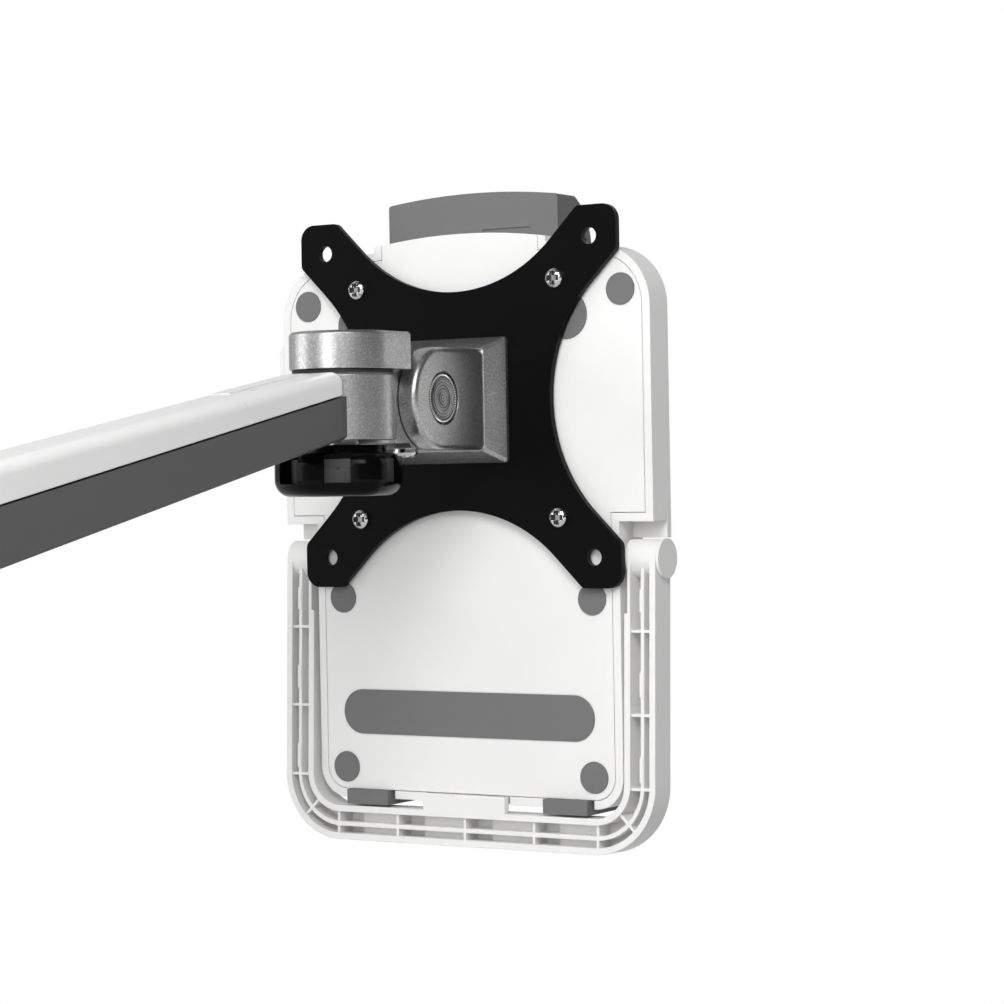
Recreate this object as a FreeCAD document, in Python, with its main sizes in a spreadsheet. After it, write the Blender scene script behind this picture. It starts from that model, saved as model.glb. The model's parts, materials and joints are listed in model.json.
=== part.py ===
import FreeCAD, Part
import math
import os

import Sketcher
from FreeCAD import Placement, Rotation, Vector

# Tablet holder on the end of a support arm. Millimetres.
# Every piece is drawn round the middle of the bolting plate's rear face: X to the right,
# Y forwards to the tablet, Z up. Placements then carry the pieces so that the origin is
# the middle of the bore at the rear end of the arm.

SIZES = [
    ("arm_reach", 202.0, "Front hub axis to rear bore axis, level"),
    ("arm_rise", 38.0, "Plate middle above the rear bore's middle"),
    ("head_reach", 63.0, "Front hub axis to the plate's rear face"),
    ("slip", 0.15, "Gap between faces that slide"),
    ("fit_gap", 0.3, "Gap round a piece that moves in an opening"),
    ("plate_half", 59.7, "Half width of the bolting plate"),
    ("plate_thickness", 2.2, "Bolting plate"),
    ("plate_waist", 35.0, "Middle of the plate to the middle of a scooped edge"),
    ("scoop_radius", 50.7, "Scooped edge of the plate"),
    ("tab_corner", 5.0, "Outer corner of a plate tab"),
    ("tab_shoulder", 2.5, "Corner between tab end and arm edge"),
    ("outer_hole_half", 50.0, "Half the outer hole spacing"),
    ("outer_hole_radius", 2.6, "Outer plate holes"),
    ("inner_hole_half", 37.5, "Half the inner hole spacing"),
    ("screw_radius", 2.0, "Screw shank"),
    ("screw_clearance", 0.2, "Hole over screw shank"),
    ("screw_head_radius", 3.05, "Pan head"),
    ("screw_head_height", 2.0, "Pan head"),
    ("screw_length", 10.5, "Shank below the head"),
    ("pivot_radius", 5.0, "Rivet that the plate turns on"),
    ("pivot_head_radius", 8.0, "Head of that rivet"),
    ("pivot_head_height", 1.2, "Head of that rivet"),
    ("flange_half", 19.9, "Half width of the head's square flange"),
    ("flange_edge", 1.4, "Straight edge of the flange"),
    ("flange_depth", 8.8, "Flange with its bevel"),
    ("flange_round", 1.2, "Corner of the flange"),
    ("neck_step", 0.25, "Flange's neck over the ears"),
    ("ear_half", 15.9, "Half width over the two ears"),
    ("ear_radius", 15.9, "Round end of an ear"),
    ("ear_gap_half", 9.8, "Half the gap between the ears"),
    ("ear_slot_floor", 13.0, "Plate face to the floor of that gap"),
    ("ear_round", 1.8, "Soft edge of an ear"),
    ("tilt_reach", 31.7, "Plate face to the tilt axis"),
    ("tilt_bolt_radius", 4.0, "Tilt bolt"),
    ("plug_radius", 7.8, "Knurled plug in the ear"),
    ("plug_gap", 0.5, "Ring of shadow round the plug"),
    ("plug_recess", 1.6, "Depth of the plug's seat"),
    ("plug_thickness", 1.2, "Knurled plug"),
    ("hub_radius", 16.0, "Front hub and the cap above it"),
    ("hub_top", 7.3, "Hub top above the plate middle"),
    ("hub_bottom", 12.7, "Hub bottom below the plate middle"),
    ("hub_edge", 0.8, "Chamfer of hub and cap edges"),
    ("washer_thickness", 1.05, "Friction washer under the cap"),
    ("cap_height", 11.3, "Cap above the hub"),
    ("cap_front", 13.2, "Hub axis to the front end of the cap"),
    ("tongue_half", 9.5, "Half width of the tongue between the ears"),
    ("tongue_radius", 13.0, "Round end of the tongue"),
    ("tongue_drop", 15.2, "Tongue bottom below the plate middle"),
    ("tongue_blend", 1.0, "Short slopes where the tongue leaves the knob and the cap"),
    ("stud_radius", 5.0, "Stud through the hub"),
    ("running_gap", 0.05, "Radial gap of a turning fit"),
    ("lock_screw_radius", 3.9, "Screw under the tongue"),
    ("lock_screw_back", 33.5, "Front hub axis to the screw under the tongue"),
    ("lock_screw_height", 2.8, "Head of that screw"),
    ("knob_lobe_reach", 13.4, "Knob axis to the middle of a lobe's rounding"),
    ("knob_lobe_round", 7.7, "Rounding of a lobe"),
    ("knob_core_radius", 15.4, "Flat floor of a window in the knob's side"),
    ("knob_top", 14.2, "Knob top below the plate middle"),
    ("knob_height", 15.3, "Hand knob with its collar"),
    ("knob_collar_radius", 12.9, "Collar on the knob"),
    ("knob_collar_height", 2.2, "Collar on the knob"),
    ("knob_window", 8.5, "Window between two grips of the knob"),
    ("knob_window_rise", 3.9, "Knob's bottom to the lower end of a window"),
    ("knob_edge", 5.0, "Rounded lower edge"),
    ("knob_brow", 4.2, "Rounded upper edge"),
    ("beam_half", 10.0, "Half width of the arm"),
    ("beam_start", 12.0, "Front hub axis to the arm's first section"),
    ("beam_top_front", 8.0, "Arm top at the first section, above plate middle"),
    ("beam_seam_front", 0.55, "Joint line of the covers there"),
    ("beam_bottom_front", -12.4, "Arm bottom there"),
    ("beam_top_rear", 12.4, "Arm top at the rear bore axis, above its middle"),
    ("beam_seam_rear", 0.7, "Joint line of the covers there"),
    ("beam_bottom_rear", -16.0, "Arm bottom there"),
    ("beam_seam_gap", 0.6, "Shadow gap between the covers"),
    ("beam_round", 3.6, "Rounded top edges of the upper cover"),
    ("lower_round", 1.2, "Rounded edges of the lower cover"),
    ("cover_wall", 3.0, "Wall of the arm covers over the casting"),
    ("top_cover_setback", 1.7, "Gap from the front hub to the upper cover"),
    ("strip_height", 0.4, "Raised strip on the upper cover"),
    ("strip_width", 6.4, "Raised strip"),
    ("strip_length", 36.0, "Raised strip"),
    ("strip_start", 20.0, "Front hub axis to the raised strip"),
    ("rear_hub_radius", 17.5, "Rear hub"),
    ("rear_hub_height", 34.0, "Rear hub"),
    ("post_bore_radius", 8.0, "Bore of the rear hub"),
    ("back_gap", 0.8, "Plate to the holder's back cover"),
    ("body_half", 69.5, "Half width of the holder's upper part"),
    ("body_top", 45.45, "Top corners of the upper part before rounding"),
    ("body_corner", 19.2, "Rounded top corners"),
    ("shoulder", 39.0, "Shoulder below the plate middle"),
    ("leg_proud", 0.4, "Leg's outer side past the holder's upper part"),
    ("body_bottom", 129.0, "Bottom below the plate middle"),
    ("bottom_corner", 10.0, "Rounded bottom corners"),
    ("body_depth", 11.5, "Depth of the holder's shell"),
    ("crown_radius", 214.5, "Crowned top of the arch"),
    ("arch_foot", 49.5, "Top edge where the arch starts"),
    ("arch_half", 32.5, "Half width of the raised arch"),
    ("arch_step", 1.8, "Step from the top edge up to the arch"),
    ("ledge", 1.2, "Ledge that the back cover rests on"),
    ("rim", 2.7, "Shell edge seen round the back cover"),
    ("seam", 0.2, "Joint line round the back cover"),
    ("cover_thickness", 2.0, "Back cover"),
    ("cover_corner", 7.4, "Bottom corners of the back cover"),
    ("floor", 2.2, "Front wall of the shell"),
    ("channel_half", 32.6, "Half width of the clamp's channel"),
    ("channel_depth", 3.1, "Clamp's channel in the shell's front"),
    ("channel_bottom", 38.0, "Lower end of the channel below the plate middle"),
    ("block_drop", 5.2, "Hinge block below the shoulder"),
    ("block_back", 9.0, "Hinge block set in from the back"),
    ("boss_radius", 4.8, "Screw bosses inside the shell"),
    ("standoff_radius", 3.8, "Raised rings that the plate bears on"),
    ("rail_width", 16.0, "Raised front rails"),
    ("rail_margin", 1.3, "Front rails in from the side of the lower part"),
    ("rail_height", 6.0, "Raised front rails"),
    ("rail_top", 28.0, "Upper end of the front rails"),
    ("rail_bottom", 108.0, "Lower end of the front rails"),
    ("grip_thickness", 2.0, "Rubber on the front rails"),
    ("grip_margin", 2.0, "Rail edge seen round the rubber"),
    ("pad_proud", 0.35, "Rear pads over the back cover"),
    ("pad_seat", 1.0, "Depth of a pad's seat"),
    ("pad_radius", 5.0, "Small rear pads"),
    ("inner_pad_radius", 7.6, "Larger rear pads"),
    ("upper_pad_in", 10.2, "Upper pads in from the side of the upper part"),
    ("upper_pad_up", 33.2, "Upper pads"),
    ("inner_pad_in", 29.9, "Larger pads in from the side of the upper part"),
    ("inner_pad_up", 26.0, "Larger pads"),
    ("middle_pad_in", 10.0, "Middle pads in from the side of the lower part"),
    ("middle_pad_down", 63.2, "Middle pads"),
    ("lower_pad_in", 10.3, "Lower pads in from the side of the lower part"),
    ("lower_pad_margin", 10.0, "Lower pads above the holder's bottom"),
    ("long_pad_in", 9.8, "Long pad in from the side of the lower part"),
    ("long_pad_radius", 7.25, "Half height of the long pad"),
    ("long_pad_gap", 6.1, "Long pad above the lower pads"),
    ("clamp_half", 32.2, "Half width of the top clamp"),
    ("clamp_rise", 15.45, "Clamp's top above its underside"),
    ("clamp_brow_drop", 3.5, "Clamp's big rounding starts this far below the underside"),
    ("clamp_crown", 240.0, "Crown of the clamp's top"),
    ("clamp_under", 52.0, "Underside that meets the tablet"),
    ("clamp_slider_bottom", 5.0, "Lower end of the clamp's slider below the middle"),
    ("clamp_lip", 3.2, "Clamp lip thickness"),
    ("clamp_lip_drop", 6.0, "Clamp lip below the underside"),
    ("clamp_round", 1.1, "Soft end edges of the clamp"),
    ("clamp_recess_near", 4.0, "Shallow recess in the clamp's rear face"),
    ("clamp_recess_far", 22.1, "Shallow recess in the clamp's rear face"),
    ("clamp_recess_rise", 3.4, "That recess above and below the underside"),
    ("clamp_recess_depth", 0.4, "Shallow recess in the clamp's rear face"),
    ("slot_half", 6.0, "Half width of the slot for the clamp's rail"),
    ("slide_down", 30.0, "Clamp travel down"),
    ("slide_up", 20.0, "Clamp travel up"),
    ("tee_half", 12.0, "Half width of the rail behind the slot"),
    ("tee_length", 30.0, "Length of that rail"),
    ("tee_drop", 4.0, "Lower end of that rail below the plate middle"),
    ("tee_thickness", 2.2, "Thickness of that rail"),
    ("tablet_thickness", 8.0, "Room between grips and lips"),
    ("hook_width", 16.05, "Lower hook"),
    ("hook_in", 11.8, "Lower hooks in from the side of the lower part"),
    ("hook_lap", 2.8, "Hook's visible top above the holder's bottom"),
    ("hook_drop", 1.9, "Hook's underside below the holder's bottom"),
    ("hook_proud", 2.5, "Hook's rear face over the back cover"),
    ("hook_ledge_rise", 10.5, "Ledge that carries the tablet above the holder's bottom"),
    ("hook_lip", 3.0, "Hook's lip thickness"),
    ("hook_lip_rise", 6.0, "Hook's lip over the ledge"),
    ("hook_relief", 1.1, "Dark gap beside a hook"),
    ("button_out", 4.0, "Release button stands out of the side"),
    ("button_top", 21.0, "Upper end of the button"),
    ("button_length", 30.0, "Release button"),
    ("button_depth", 5.2, "Release button"),
    ("button_back", 3.0, "Button's rear face behind the shell's rear face"),
    ("button_stem", 14.0, "Button inside the shell"),
    ("button_flange", 1.5, "Lip that keeps the button in"),
    ("button_travel", 2.5, "Press of the button"),
    ("leg_rest", 2.05, "Degrees that the leg stands open"),
    ("leg_side_gap", 1.65, "Holder's lower part to the leg"),
    ("leg_width", 10.95, "Width of the leg's frame"),
    ("leg_depth", 9.8, "Depth of the leg's frame"),
    ("leg_end_gap", 2.8, "Holder's bottom to the leg's crossbar"),
    ("leg_bar", 11.2, "Height of the leg's crossbar"),
    ("leg_corner", 21.5, "Outer corner of the leg"),
    ("leg_wall", 2.1, "Walls of the leg"),
    ("leg_floor", 2.0, "Front wall of the leg"),
    ("leg_rib", 0.95, "Ribs of the leg"),
    ("leg_mid_rib", 1.2, "Long rib along the leg's channel"),
    ("leg_mid_rib_in", 6.0, "Leg's inner face to the middle of the long rib"),
    ("leg_rib_set", 0.8, "Ribs set in from the open side"),
    ("leg_step", 2.6, "Raised floor in the crossbar's bays"),
    ("leg_relief", 1.05, "Cut in the leg's inner face for the plate's corner"),
    ("hinge_down", 50.6, "Hinge axis below the plate middle"),
    ("barrel_radius", 6.0, "Hinge barrel"),
    ("pin_radius", 2.2, "Hinge pin"),
    ("pin_reach", 13.3, "Hinge pin inside the holder's lower part"),
    ("pin_cap", 1.0, "Cap of the right hinge pin"),
    ("pin_cap_radius", 6.2, "Cap of the right hinge pin"),
    ("leg_tab_half", 15.5, "Half width of the leg's tab"),
    ("leg_tab_lap", 2.5, "Top of the tab above the holder's bottom"),
    ("tab_scoop_radius", 9.3, "Finger scoop in the tab"),
    ("tab_scoop_sink", 1.3, "Finger scoop below the tab's top"),
    ("leg_tab_depth", 2.4, "Tab thickness"),
]

doc = FreeCAD.newDocument("TabletHolder")
sheet = doc.addObject("Spreadsheet::Sheet", "Sizes")
for row_number, (alias, amount, note) in enumerate(SIZES, start=1):
    sheet.set(f"A{row_number}", note)
    sheet.set(f"B{row_number}", str(amount))
    sheet.setAlias(f"B{row_number}", alias)
doc.recompute()


class Size:
    """A number together with the sheet expression that gives it."""

    def __init__(self, text, number):
        self.text = text
        self.number = number

    def __add__(self, other):
        other = as_size(other)
        return Size(f"({self.text} + {other.text})", self.number + other.number)

    def __sub__(self, other):
        other = as_size(other)
        return Size(f"({self.text} - {other.text})", self.number - other.number)

    def __mul__(self, other):
        other = as_size(other)
        return Size(f"({self.text} * {other.text})", self.number * other.number)

    def __truediv__(self, other):
        other = as_size(other)
        return Size(f"({self.text} / {other.text})", self.number / other.number)

    def __radd__(self, other):
        return as_size(other) + self

    def __rsub__(self, other):
        return as_size(other) - self

    def __rmul__(self, other):
        return as_size(other) * self

    def __neg__(self):
        return as_size(0) - self


def as_size(amount):
    if isinstance(amount, Size):
        return amount
    return Size(f"({float(amount)})", float(amount))


def number(amount):
    return as_size(amount).number


def root(amount):
    amount = as_size(amount)
    return Size(f"sqrt({amount.text})", math.sqrt(amount.number))


def cosine(angle):
    return Size(f"cos({angle.text})", math.cos(math.radians(angle.number)))


def sine(angle):
    return Size(f"sin({angle.text})", math.sin(math.radians(angle.number)))


class Sheet:
    """The sheet's sizes by name."""

    def __getattr__(self, alias):
        return Size(f"Sizes.{alias}", float(sheet.get(alias)))


s = Sheet()
DIAGONAL = math.sqrt(0.5)
# A round end's radius as a share of half its width, so that a short flat is left
NEARLY = 0.998
# Cross recess of a screw head as shares of the head's radius
SLOT_SHARE = 0.3
SLOT_REACH_SHARE = 0.72
# Share of the knob's height that the stud reaches into
STUD_SHARE = 0.75
# The knob's lobes and windows, as degrees round its axis
LOBE_ANGLES = (-152.3, -32.3, 87.7)
WINDOW_START = -62.3
# Ribs as shares of the straight part of the leg's side and of its crossbar
SIDE_RIBS = (0.319, 0.6855, 1.0085)
BAR_RIBS = (-1.015, -0.535, 0, 0.535, 1.015)
# Share of a bay that is left deep before its raised floor
BAY_SHARE = 0.3

# Places that several pieces share
cover_back = s.plate_thickness + s.back_gap
shell_front = cover_back + s.body_depth
cover_front = cover_back + s.cover_thickness
floor_back = shell_front - s.floor
channel_face = shell_front - s.channel_depth
channel_back = channel_face - s.floor
tilt_y = -s.tilt_reach
hub_y = -s.head_reach
cap_bottom = s.hub_top + s.washer_thickness + s.slip
cap_top = cap_bottom + s.cap_height
grip_front = shell_front + s.rail_height + s.grip_thickness
lip_back = grip_front + s.tablet_thickness
hinge_y = cover_back + s.barrel_radius
stud_bottom = -s.knob_top - s.knob_height * STUD_SHARE
stud_top = cap_top - s.cap_height / 4
knob_reach = s.knob_lobe_reach + s.knob_lobe_round
lower_pad_down = s.body_bottom - s.lower_pad_margin
long_pad_bottom = lower_pad_down - s.pad_radius - s.long_pad_gap
long_pad_top = long_pad_bottom - s.long_pad_radius * 2
clamp_top = s.clamp_under + s.clamp_rise
hook_top = s.body_bottom - s.hook_lap
hook_bottom = s.body_bottom + s.hook_drop
hook_ledge = s.body_bottom - s.hook_ledge_rise
leg_half = s.body_half + s.leg_proud
lower_half = leg_half - s.leg_width - s.leg_side_gap
pin_inner = lower_half - s.pin_reach
rail_far = lower_half - s.rail_margin
rail_near = rail_far - s.rail_width
hook_far = lower_half - s.hook_in
hook_near = hook_far - s.hook_width
upper_pad_across = s.body_half - s.upper_pad_in
inner_pad_across = s.body_half - s.inner_pad_in
middle_pad_across = lower_half - s.middle_pad_in
lower_pad_across = lower_half - s.lower_pad_in
long_pad_half = lower_half - s.long_pad_in
leg_bottom = s.body_bottom + s.leg_end_gap + s.leg_bar
leg_tab_top = s.body_bottom - s.leg_tab_lap


def bind(thing, prop, amount):
    thing.setExpression(prop, as_size(amount).text)


def carry_to_origin(thing, own_y=0, own_z=0):
    """Move a finished piece so that the rear bore's middle is the origin."""
    bind(thing, "Placement.Base.y", s.arm_reach + s.head_reach + own_y)
    bind(thing, "Placement.Base.z", s.arm_rise + own_z)
    return thing


class Drawing:
    """Sketch geometry whose constraints are bound to the sheet."""

    def __init__(self, sketch):
        self.sketch = sketch
        self.constraints = []

    def hold(self, kind, *where, amount=None):
        if amount is None:
            self.constraints.append((Sketcher.Constraint(kind, *where), None))
        else:
            size = as_size(amount)
            self.constraints.append((Sketcher.Constraint(kind, *where, size.number), size))

    def place(self, geometry, vertex, x, y):
        self.hold("DistanceX", geometry, vertex, amount=x)
        self.hold("DistanceY", geometry, vertex, amount=y)

    def finish(self):
        self.sketch.addConstraint([constraint for constraint, size in self.constraints])
        for index, (constraint, size) in enumerate(self.constraints):
            if size is not None:
                self.sketch.setExpression(f"Constraints[{index}]", size.text)

    def circle(self, x, y, radius):
        centre = Vector(number(x), number(y), 0)
        ring = self.sketch.addGeometry(Part.Circle(centre, Vector(0, 0, 1), number(radius)), False)
        self.place(ring, 3, x, y)
        self.hold("Radius", ring, amount=radius)

    def path(self, corners):
        """A closed outline, anticlockwise.

        A corner is (x, y), (x, y, rounding) or (x, y, None, bow), where bow is the
        radius of an outward arc that leads to the next corner.
        """
        points = [Vector(number(corner[0]), number(corner[1]), 0) for corner in corners]
        count = len(points)
        radii = [corner[2] if len(corner) > 2 else None for corner in corners]
        arrive = []
        depart = []
        for i, point in enumerate(points):
            back = (points[i - 1] - point).normalize()
            ahead = (points[(i + 1) % count] - point).normalize()
            reach = 0.0
            if radii[i] is not None:
                reach = number(radii[i]) / math.tan(back.getAngle(ahead) / 2)
            arrive.append(point + back * reach)
            depart.append(point + ahead * reach)
        lines = []
        for i, corner in enumerate(corners):
            start = depart[i]
            stop = arrive[(i + 1) % count]
            if len(corner) < 4:
                lines.append(self.sketch.addGeometry(Part.LineSegment(start, stop), False))
                continue
            bow = number(corner[3])
            inward = Vector(start.y - stop.y, stop.x - start.x, 0).normalize()
            half_chord = (stop - start).Length / 2
            centre = (start + stop) / 2 + inward * math.sqrt(bow ** 2 - half_chord ** 2)
            from_angle = math.atan2(start.y - centre.y, start.x - centre.x)
            to_angle = math.atan2(stop.y - centre.y, stop.x - centre.x)
            if to_angle < from_angle:
                to_angle += 2 * math.pi
            ring = Part.Circle(centre, Vector(0, 0, 1), bow)
            arc = Part.ArcOfCircle(ring, from_angle, to_angle)
            lines.append(self.sketch.addGeometry(arc, False))
            self.hold("Radius", lines[-1], amount=corner[3])
        for i, point in enumerate(points):
            before = lines[i - 1]
            after = lines[i]
            if radii[i] is None:
                self.hold("Coincident", before, 2, after, 1)
                self.place(after, 1, corners[i][0], corners[i][1])
                continue
            back = (points[i - 1] - point).normalize()
            ahead = (points[(i + 1) % count] - point).normalize()
            half = back.getAngle(ahead) / 2
            centre = point + (back + ahead).normalize() * (number(radii[i]) / math.sin(half))
            left_turn = ahead.cross(back).z > 0
            first = arrive[i] if left_turn else depart[i]
            last = depart[i] if left_turn else arrive[i]
            first_angle = math.atan2(first.y - centre.y, first.x - centre.x)
            last_angle = math.atan2(last.y - centre.y, last.x - centre.x)
            if last_angle < first_angle:
                last_angle += 2 * math.pi
            ring = Part.Circle(centre, Vector(0, 0, 1), number(radii[i]))
            arc = self.sketch.addGeometry(Part.ArcOfCircle(ring, first_angle, last_angle), False)
            corner = self.sketch.addGeometry(Part.Point(point), True)
            self.hold("Tangent", before, 2, arc, 1 if left_turn else 2)
            self.hold("Tangent", arc, 2 if left_turn else 1, after, 1)
            self.hold("Radius", arc, amount=radii[i])
            self.place(corner, 1, corners[i][0], corners[i][1])
            self.hold("PointOnObject", corner, 1, before)
            self.hold("PointOnObject", corner, 1, after)

    def rectangle(self, low_x, low_y, high_x, high_y):
        self.path([(low_x, low_y), (high_x, low_y), (high_x, high_y), (low_x, high_y)])


class Piece:
    """A part design body, built up feature by feature."""

    def __init__(self, label):
        self.body = doc.addObject("PartDesign::Body", label)
        self.body.Label = label
        self.steps = 0

    def name(self, kind):
        self.steps += 1
        return f"{self.body.Name}_{kind}{self.steps}"

    def sketch(self, plane, level, draw):
        """A sketch across axis X, Y or Z at the given level."""
        role = {"X": "YZ_Plane", "Y": "XZ_Plane", "Z": "XY_Plane"}[plane]
        sketch = self.body.newObject("Sketcher::SketchObject", self.name("sketch"))
        support = [f for f in self.body.Origin.OriginFeatures if f.Role == role][0]
        sketch.AttachmentSupport = [(support, "")]
        sketch.MapMode = "FlatFace"
        offset = -as_size(level) if plane == "Y" else as_size(level)
        sketch.AttachmentOffset = Placement(Vector(0, 0, offset.number), Rotation())
        bind(sketch, "AttachmentOffset.Base.z", offset)
        drawing = Drawing(sketch)
        draw(drawing)
        drawing.finish()
        return sketch

    def pad(self, plane, low, high, draw):
        sketch = self.sketch(plane, low, draw)
        pad = self.body.newObject("PartDesign::Pad", self.name("pad"))
        pad.Profile = sketch
        pad.Reversed = plane == "Y"
        bind(pad, "Length", as_size(high) - low)
        return self.settle(pad, grows=True)

    def pocket(self, plane, low, high, draw):
        sketch = self.sketch(plane, low if plane == "Y" else high, draw)
        pocket = self.body.newObject("PartDesign::Pocket", self.name("pocket"))
        pocket.Profile = sketch
        bind(pocket, "Length", as_size(high) - low)
        return self.settle(pocket, grows=False)

    def loft(self, sections):
        sketches = [self.sketch(plane, level, draw) for plane, level, draw in sections]
        loft = self.body.newObject("PartDesign::AdditiveLoft", self.name("loft"))
        loft.Profile = sketches[0]
        loft.Sections = sketches[1:]
        return self.settle(loft, grows=True)

    def dress(self, kind, wanted, prop, amount):
        """Fillet or chamfer the edges that the wanted test picks."""
        base = self.body.Tip
        names = [f"Edge{i}" for i, edge in enumerate(base.Shape.Edges, start=1) if wanted(edge)]
        if not names:
            raise ValueError(f"{self.body.Label}: no edge to {kind}")
        dressed = self.body.newObject(f"PartDesign::{kind}", self.name(kind.lower()))
        dressed.Base = (base, names)
        bind(dressed, prop, amount)
        doc.recompute()
        if dressed.Shape.isNull() or not dressed.Shape.isValid():
            raise ValueError(f"{dressed.Name} failed on {names}")
        return dressed

    def fillet(self, wanted, radius):
        return self.dress("Fillet", wanted, "Radius", radius)

    def chamfer(self, wanted, width):
        return self.dress("Chamfer", wanted, "Size", width)

    def settle(self, feature, grows):
        doc.recompute()
        base = feature.BaseFeature
        if base is not None:
            change = feature.Shape.Volume - base.Shape.Volume
            if (change > 0) != grows or abs(change) < 1e-6:
                raise ValueError(f"{feature.Name}: {'adds' if grows else 'cuts'} nothing")
        return feature

    def finish(self):
        return carry_to_origin(self.body)


def near(a, b):
    return abs(a - number(b)) < 1e-3


def runs_along(edge, axis):
    """True for a straight edge along axis X, Y or Z."""
    if not isinstance(edge.Curve, Part.Line):
        return False
    return abs(abs(getattr(edge.Curve.Direction, axis.lower())) - 1) < 1e-6


def both_sides(corners):
    """A right-hand outline, bottom to top, closed with its mirror image."""
    mirrored = [(-as_size(corner[0]), *corner[1:3]) for corner in reversed(corners)]
    return list(corners) + mirrored


def rod(label, axis, radius, low, high, centre=(0, 0)):
    """A plain cylinder along an axis; centre gives the other two coordinates in order."""
    turn = {"X": Rotation(Vector(0, 1, 0), 90), "Y": Rotation(Vector(1, 0, 0), -90), "Z": Rotation()}
    piece = doc.addObject("Part::Cylinder", label)
    piece.Label = label
    piece.Placement = Placement(Vector(), turn[axis])
    bind(piece, "Radius", radius)
    bind(piece, "Height", as_size(high) - low)
    others = [other for other in "xyz" if other != axis.lower()]
    bind(piece, f"Placement.Base.{axis.lower()}", low)
    for other, place in zip(others, centre):
        bind(piece, f"Placement.Base.{other}", place)
    return piece


def carried_rod(label, axis, radius, low, high, centre=(0, 0)):
    """A piece that is one plain cylinder, already moved with the rest."""
    piece = rod(label, axis, radius, low, high, centre)
    own = {
        "X": (centre[0], centre[1]),
        "Y": (low, centre[1]),
        "Z": (centre[1], low),
    }[axis]
    return carry_to_origin(piece, *own)


def fused(label, base, tools):
    """A fusion of Part objects under one label."""
    result = base
    for index, tool in enumerate(tools, start=1):
        step = doc.addObject("Part::Fuse", f"{label}_fuse{index}")
        step.Base = result
        step.Tool = tool
        result = step
    result.Label = label
    return result


# Bolting plate and its fasteners

def build_plate():
    plate = Piece("vesa_plate")
    half = s.plate_half
    centre = s.plate_waist + s.scoop_radius
    tangent = s.scoop_radius * DIAGONAL
    arm_edge = centre - tangent
    corner = tangent + half - arm_edge
    outside = half + s.scoop_radius

    def square(draw):
        r = s.tab_corner
        draw.path([(-half, -half, r), (half, -half, r), (half, half, r), (-half, half, r)])

    def scoops(draw):
        for x, y in ((centre, 0), (-centre, 0), (0, centre), (0, -centre)):
            draw.circle(x, y, s.scoop_radius)

    def arm_edges(draw, turn):
        flare = outside - half
        points = [
            (-tangent, arm_edge), (tangent, arm_edge),
            (corner + flare, outside), (-corner - flare, outside),
        ]
        draw.path([turn(x, y) for x, y in points])

    turns = (
        lambda x, y: (x, y),
        lambda x, y: (-as_size(y), x),
        lambda x, y: (-as_size(x), -as_size(y)),
        lambda x, y: (y, -as_size(x)),
    )
    plate.pad("Y", 0, s.plate_thickness, square)
    plate.pocket("Y", 0, s.plate_thickness, scoops)
    for turn in turns:
        plate.pocket("Y", 0, s.plate_thickness, lambda draw: arm_edges(draw, turn))

    def is_shoulder(edge):
        if not runs_along(edge, "Y"):
            return False
        x, z = abs(edge.CenterOfMass.x), abs(edge.CenterOfMass.z)
        return (near(x, corner) and near(z, half)) or (near(z, corner) and near(x, half))

    plate.fillet(is_shoulder, s.tab_shoulder)

    def holes(draw):
        draw.circle(0, 0, s.pivot_radius + s.running_gap)
        for across in (-1, 1):
            for up in (-1, 1):
                outer = s.outer_hole_half
                draw.circle(outer * across, outer * up, s.outer_hole_radius)
                inner = s.inner_hole_half
                draw.circle(inner * across, inner * up, s.screw_radius + s.screw_clearance)

    plate.pocket("Y", 0, s.plate_thickness, holes)
    return plate.finish()


def screw_shape(head_radius, head_height, shank_radius, length):
    """A pan head screw along +Y with a cross recess; its head seats on Y = 0."""
    rim = head_height * 0.45
    crown = head_radius * 0.62
    outline = [
        Part.LineSegment(Vector(0, length, 0), Vector(shank_radius, length, 0)),
        Part.LineSegment(Vector(shank_radius, length, 0), Vector(shank_radius, 0, 0)),
        Part.LineSegment(Vector(shank_radius, 0, 0), Vector(head_radius, 0, 0)),
        Part.LineSegment(Vector(head_radius, 0, 0), Vector(head_radius, -rim, 0)),
        Part.Arc(
            Vector(head_radius, -rim, 0),
            Vector(crown, -head_height * 0.9, 0),
            Vector(0, -head_height, 0),
        ),
        Part.LineSegment(Vector(0, -head_height, 0), Vector(0, length, 0)),
    ]
    face = Part.Face(Part.Wire([part.toShape() for part in outline]))
    screw = face.revolve(Vector(), Vector(0, 1, 0), 360)
    slot = head_radius * SLOT_SHARE
    arm = head_radius * SLOT_REACH_SHARE
    depth = head_height * 0.6
    for wide, tall in ((arm, slot), (slot, arm)):
        corner = Vector(-wide, -head_height - 1, -tall)
        screw = screw.cut(Part.makeBox(2 * wide, depth + 1, 2 * tall, corner))
    return screw


def build_plate_screws():
    screws = doc.addObject("Part::Feature", "plate_screws")
    sizes = [s.screw_head_radius, s.screw_head_height, s.screw_radius, s.screw_length]
    one = screw_shape(*[number(size) for size in sizes])
    spread = number(s.inner_hole_half)
    copies = []
    for across in (-spread, spread):
        for up in (-spread, spread):
            copies.append(one.translated(Vector(across, 0, up)))
    screws.Shape = Part.Compound(copies)
    return carry_to_origin(screws)


def build_plate_pivot():
    """The rivet that holds the plate against the head's flange and lets it turn."""
    shank = rod("plate_pivot_shank", "Y", s.pivot_radius, -s.flange_depth / 2, s.plate_thickness)
    top = s.plate_thickness
    head = rod("plate_pivot_head", "Y", s.pivot_head_radius, top + s.slip, top + s.pivot_head_height)
    neck = rod("plate_pivot_neck", "Y", s.pivot_radius, s.plate_thickness, top + s.pivot_head_height)
    return carry_to_origin(fused("plate_pivot", shank, [neck, head]))


# Tilting head

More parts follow.
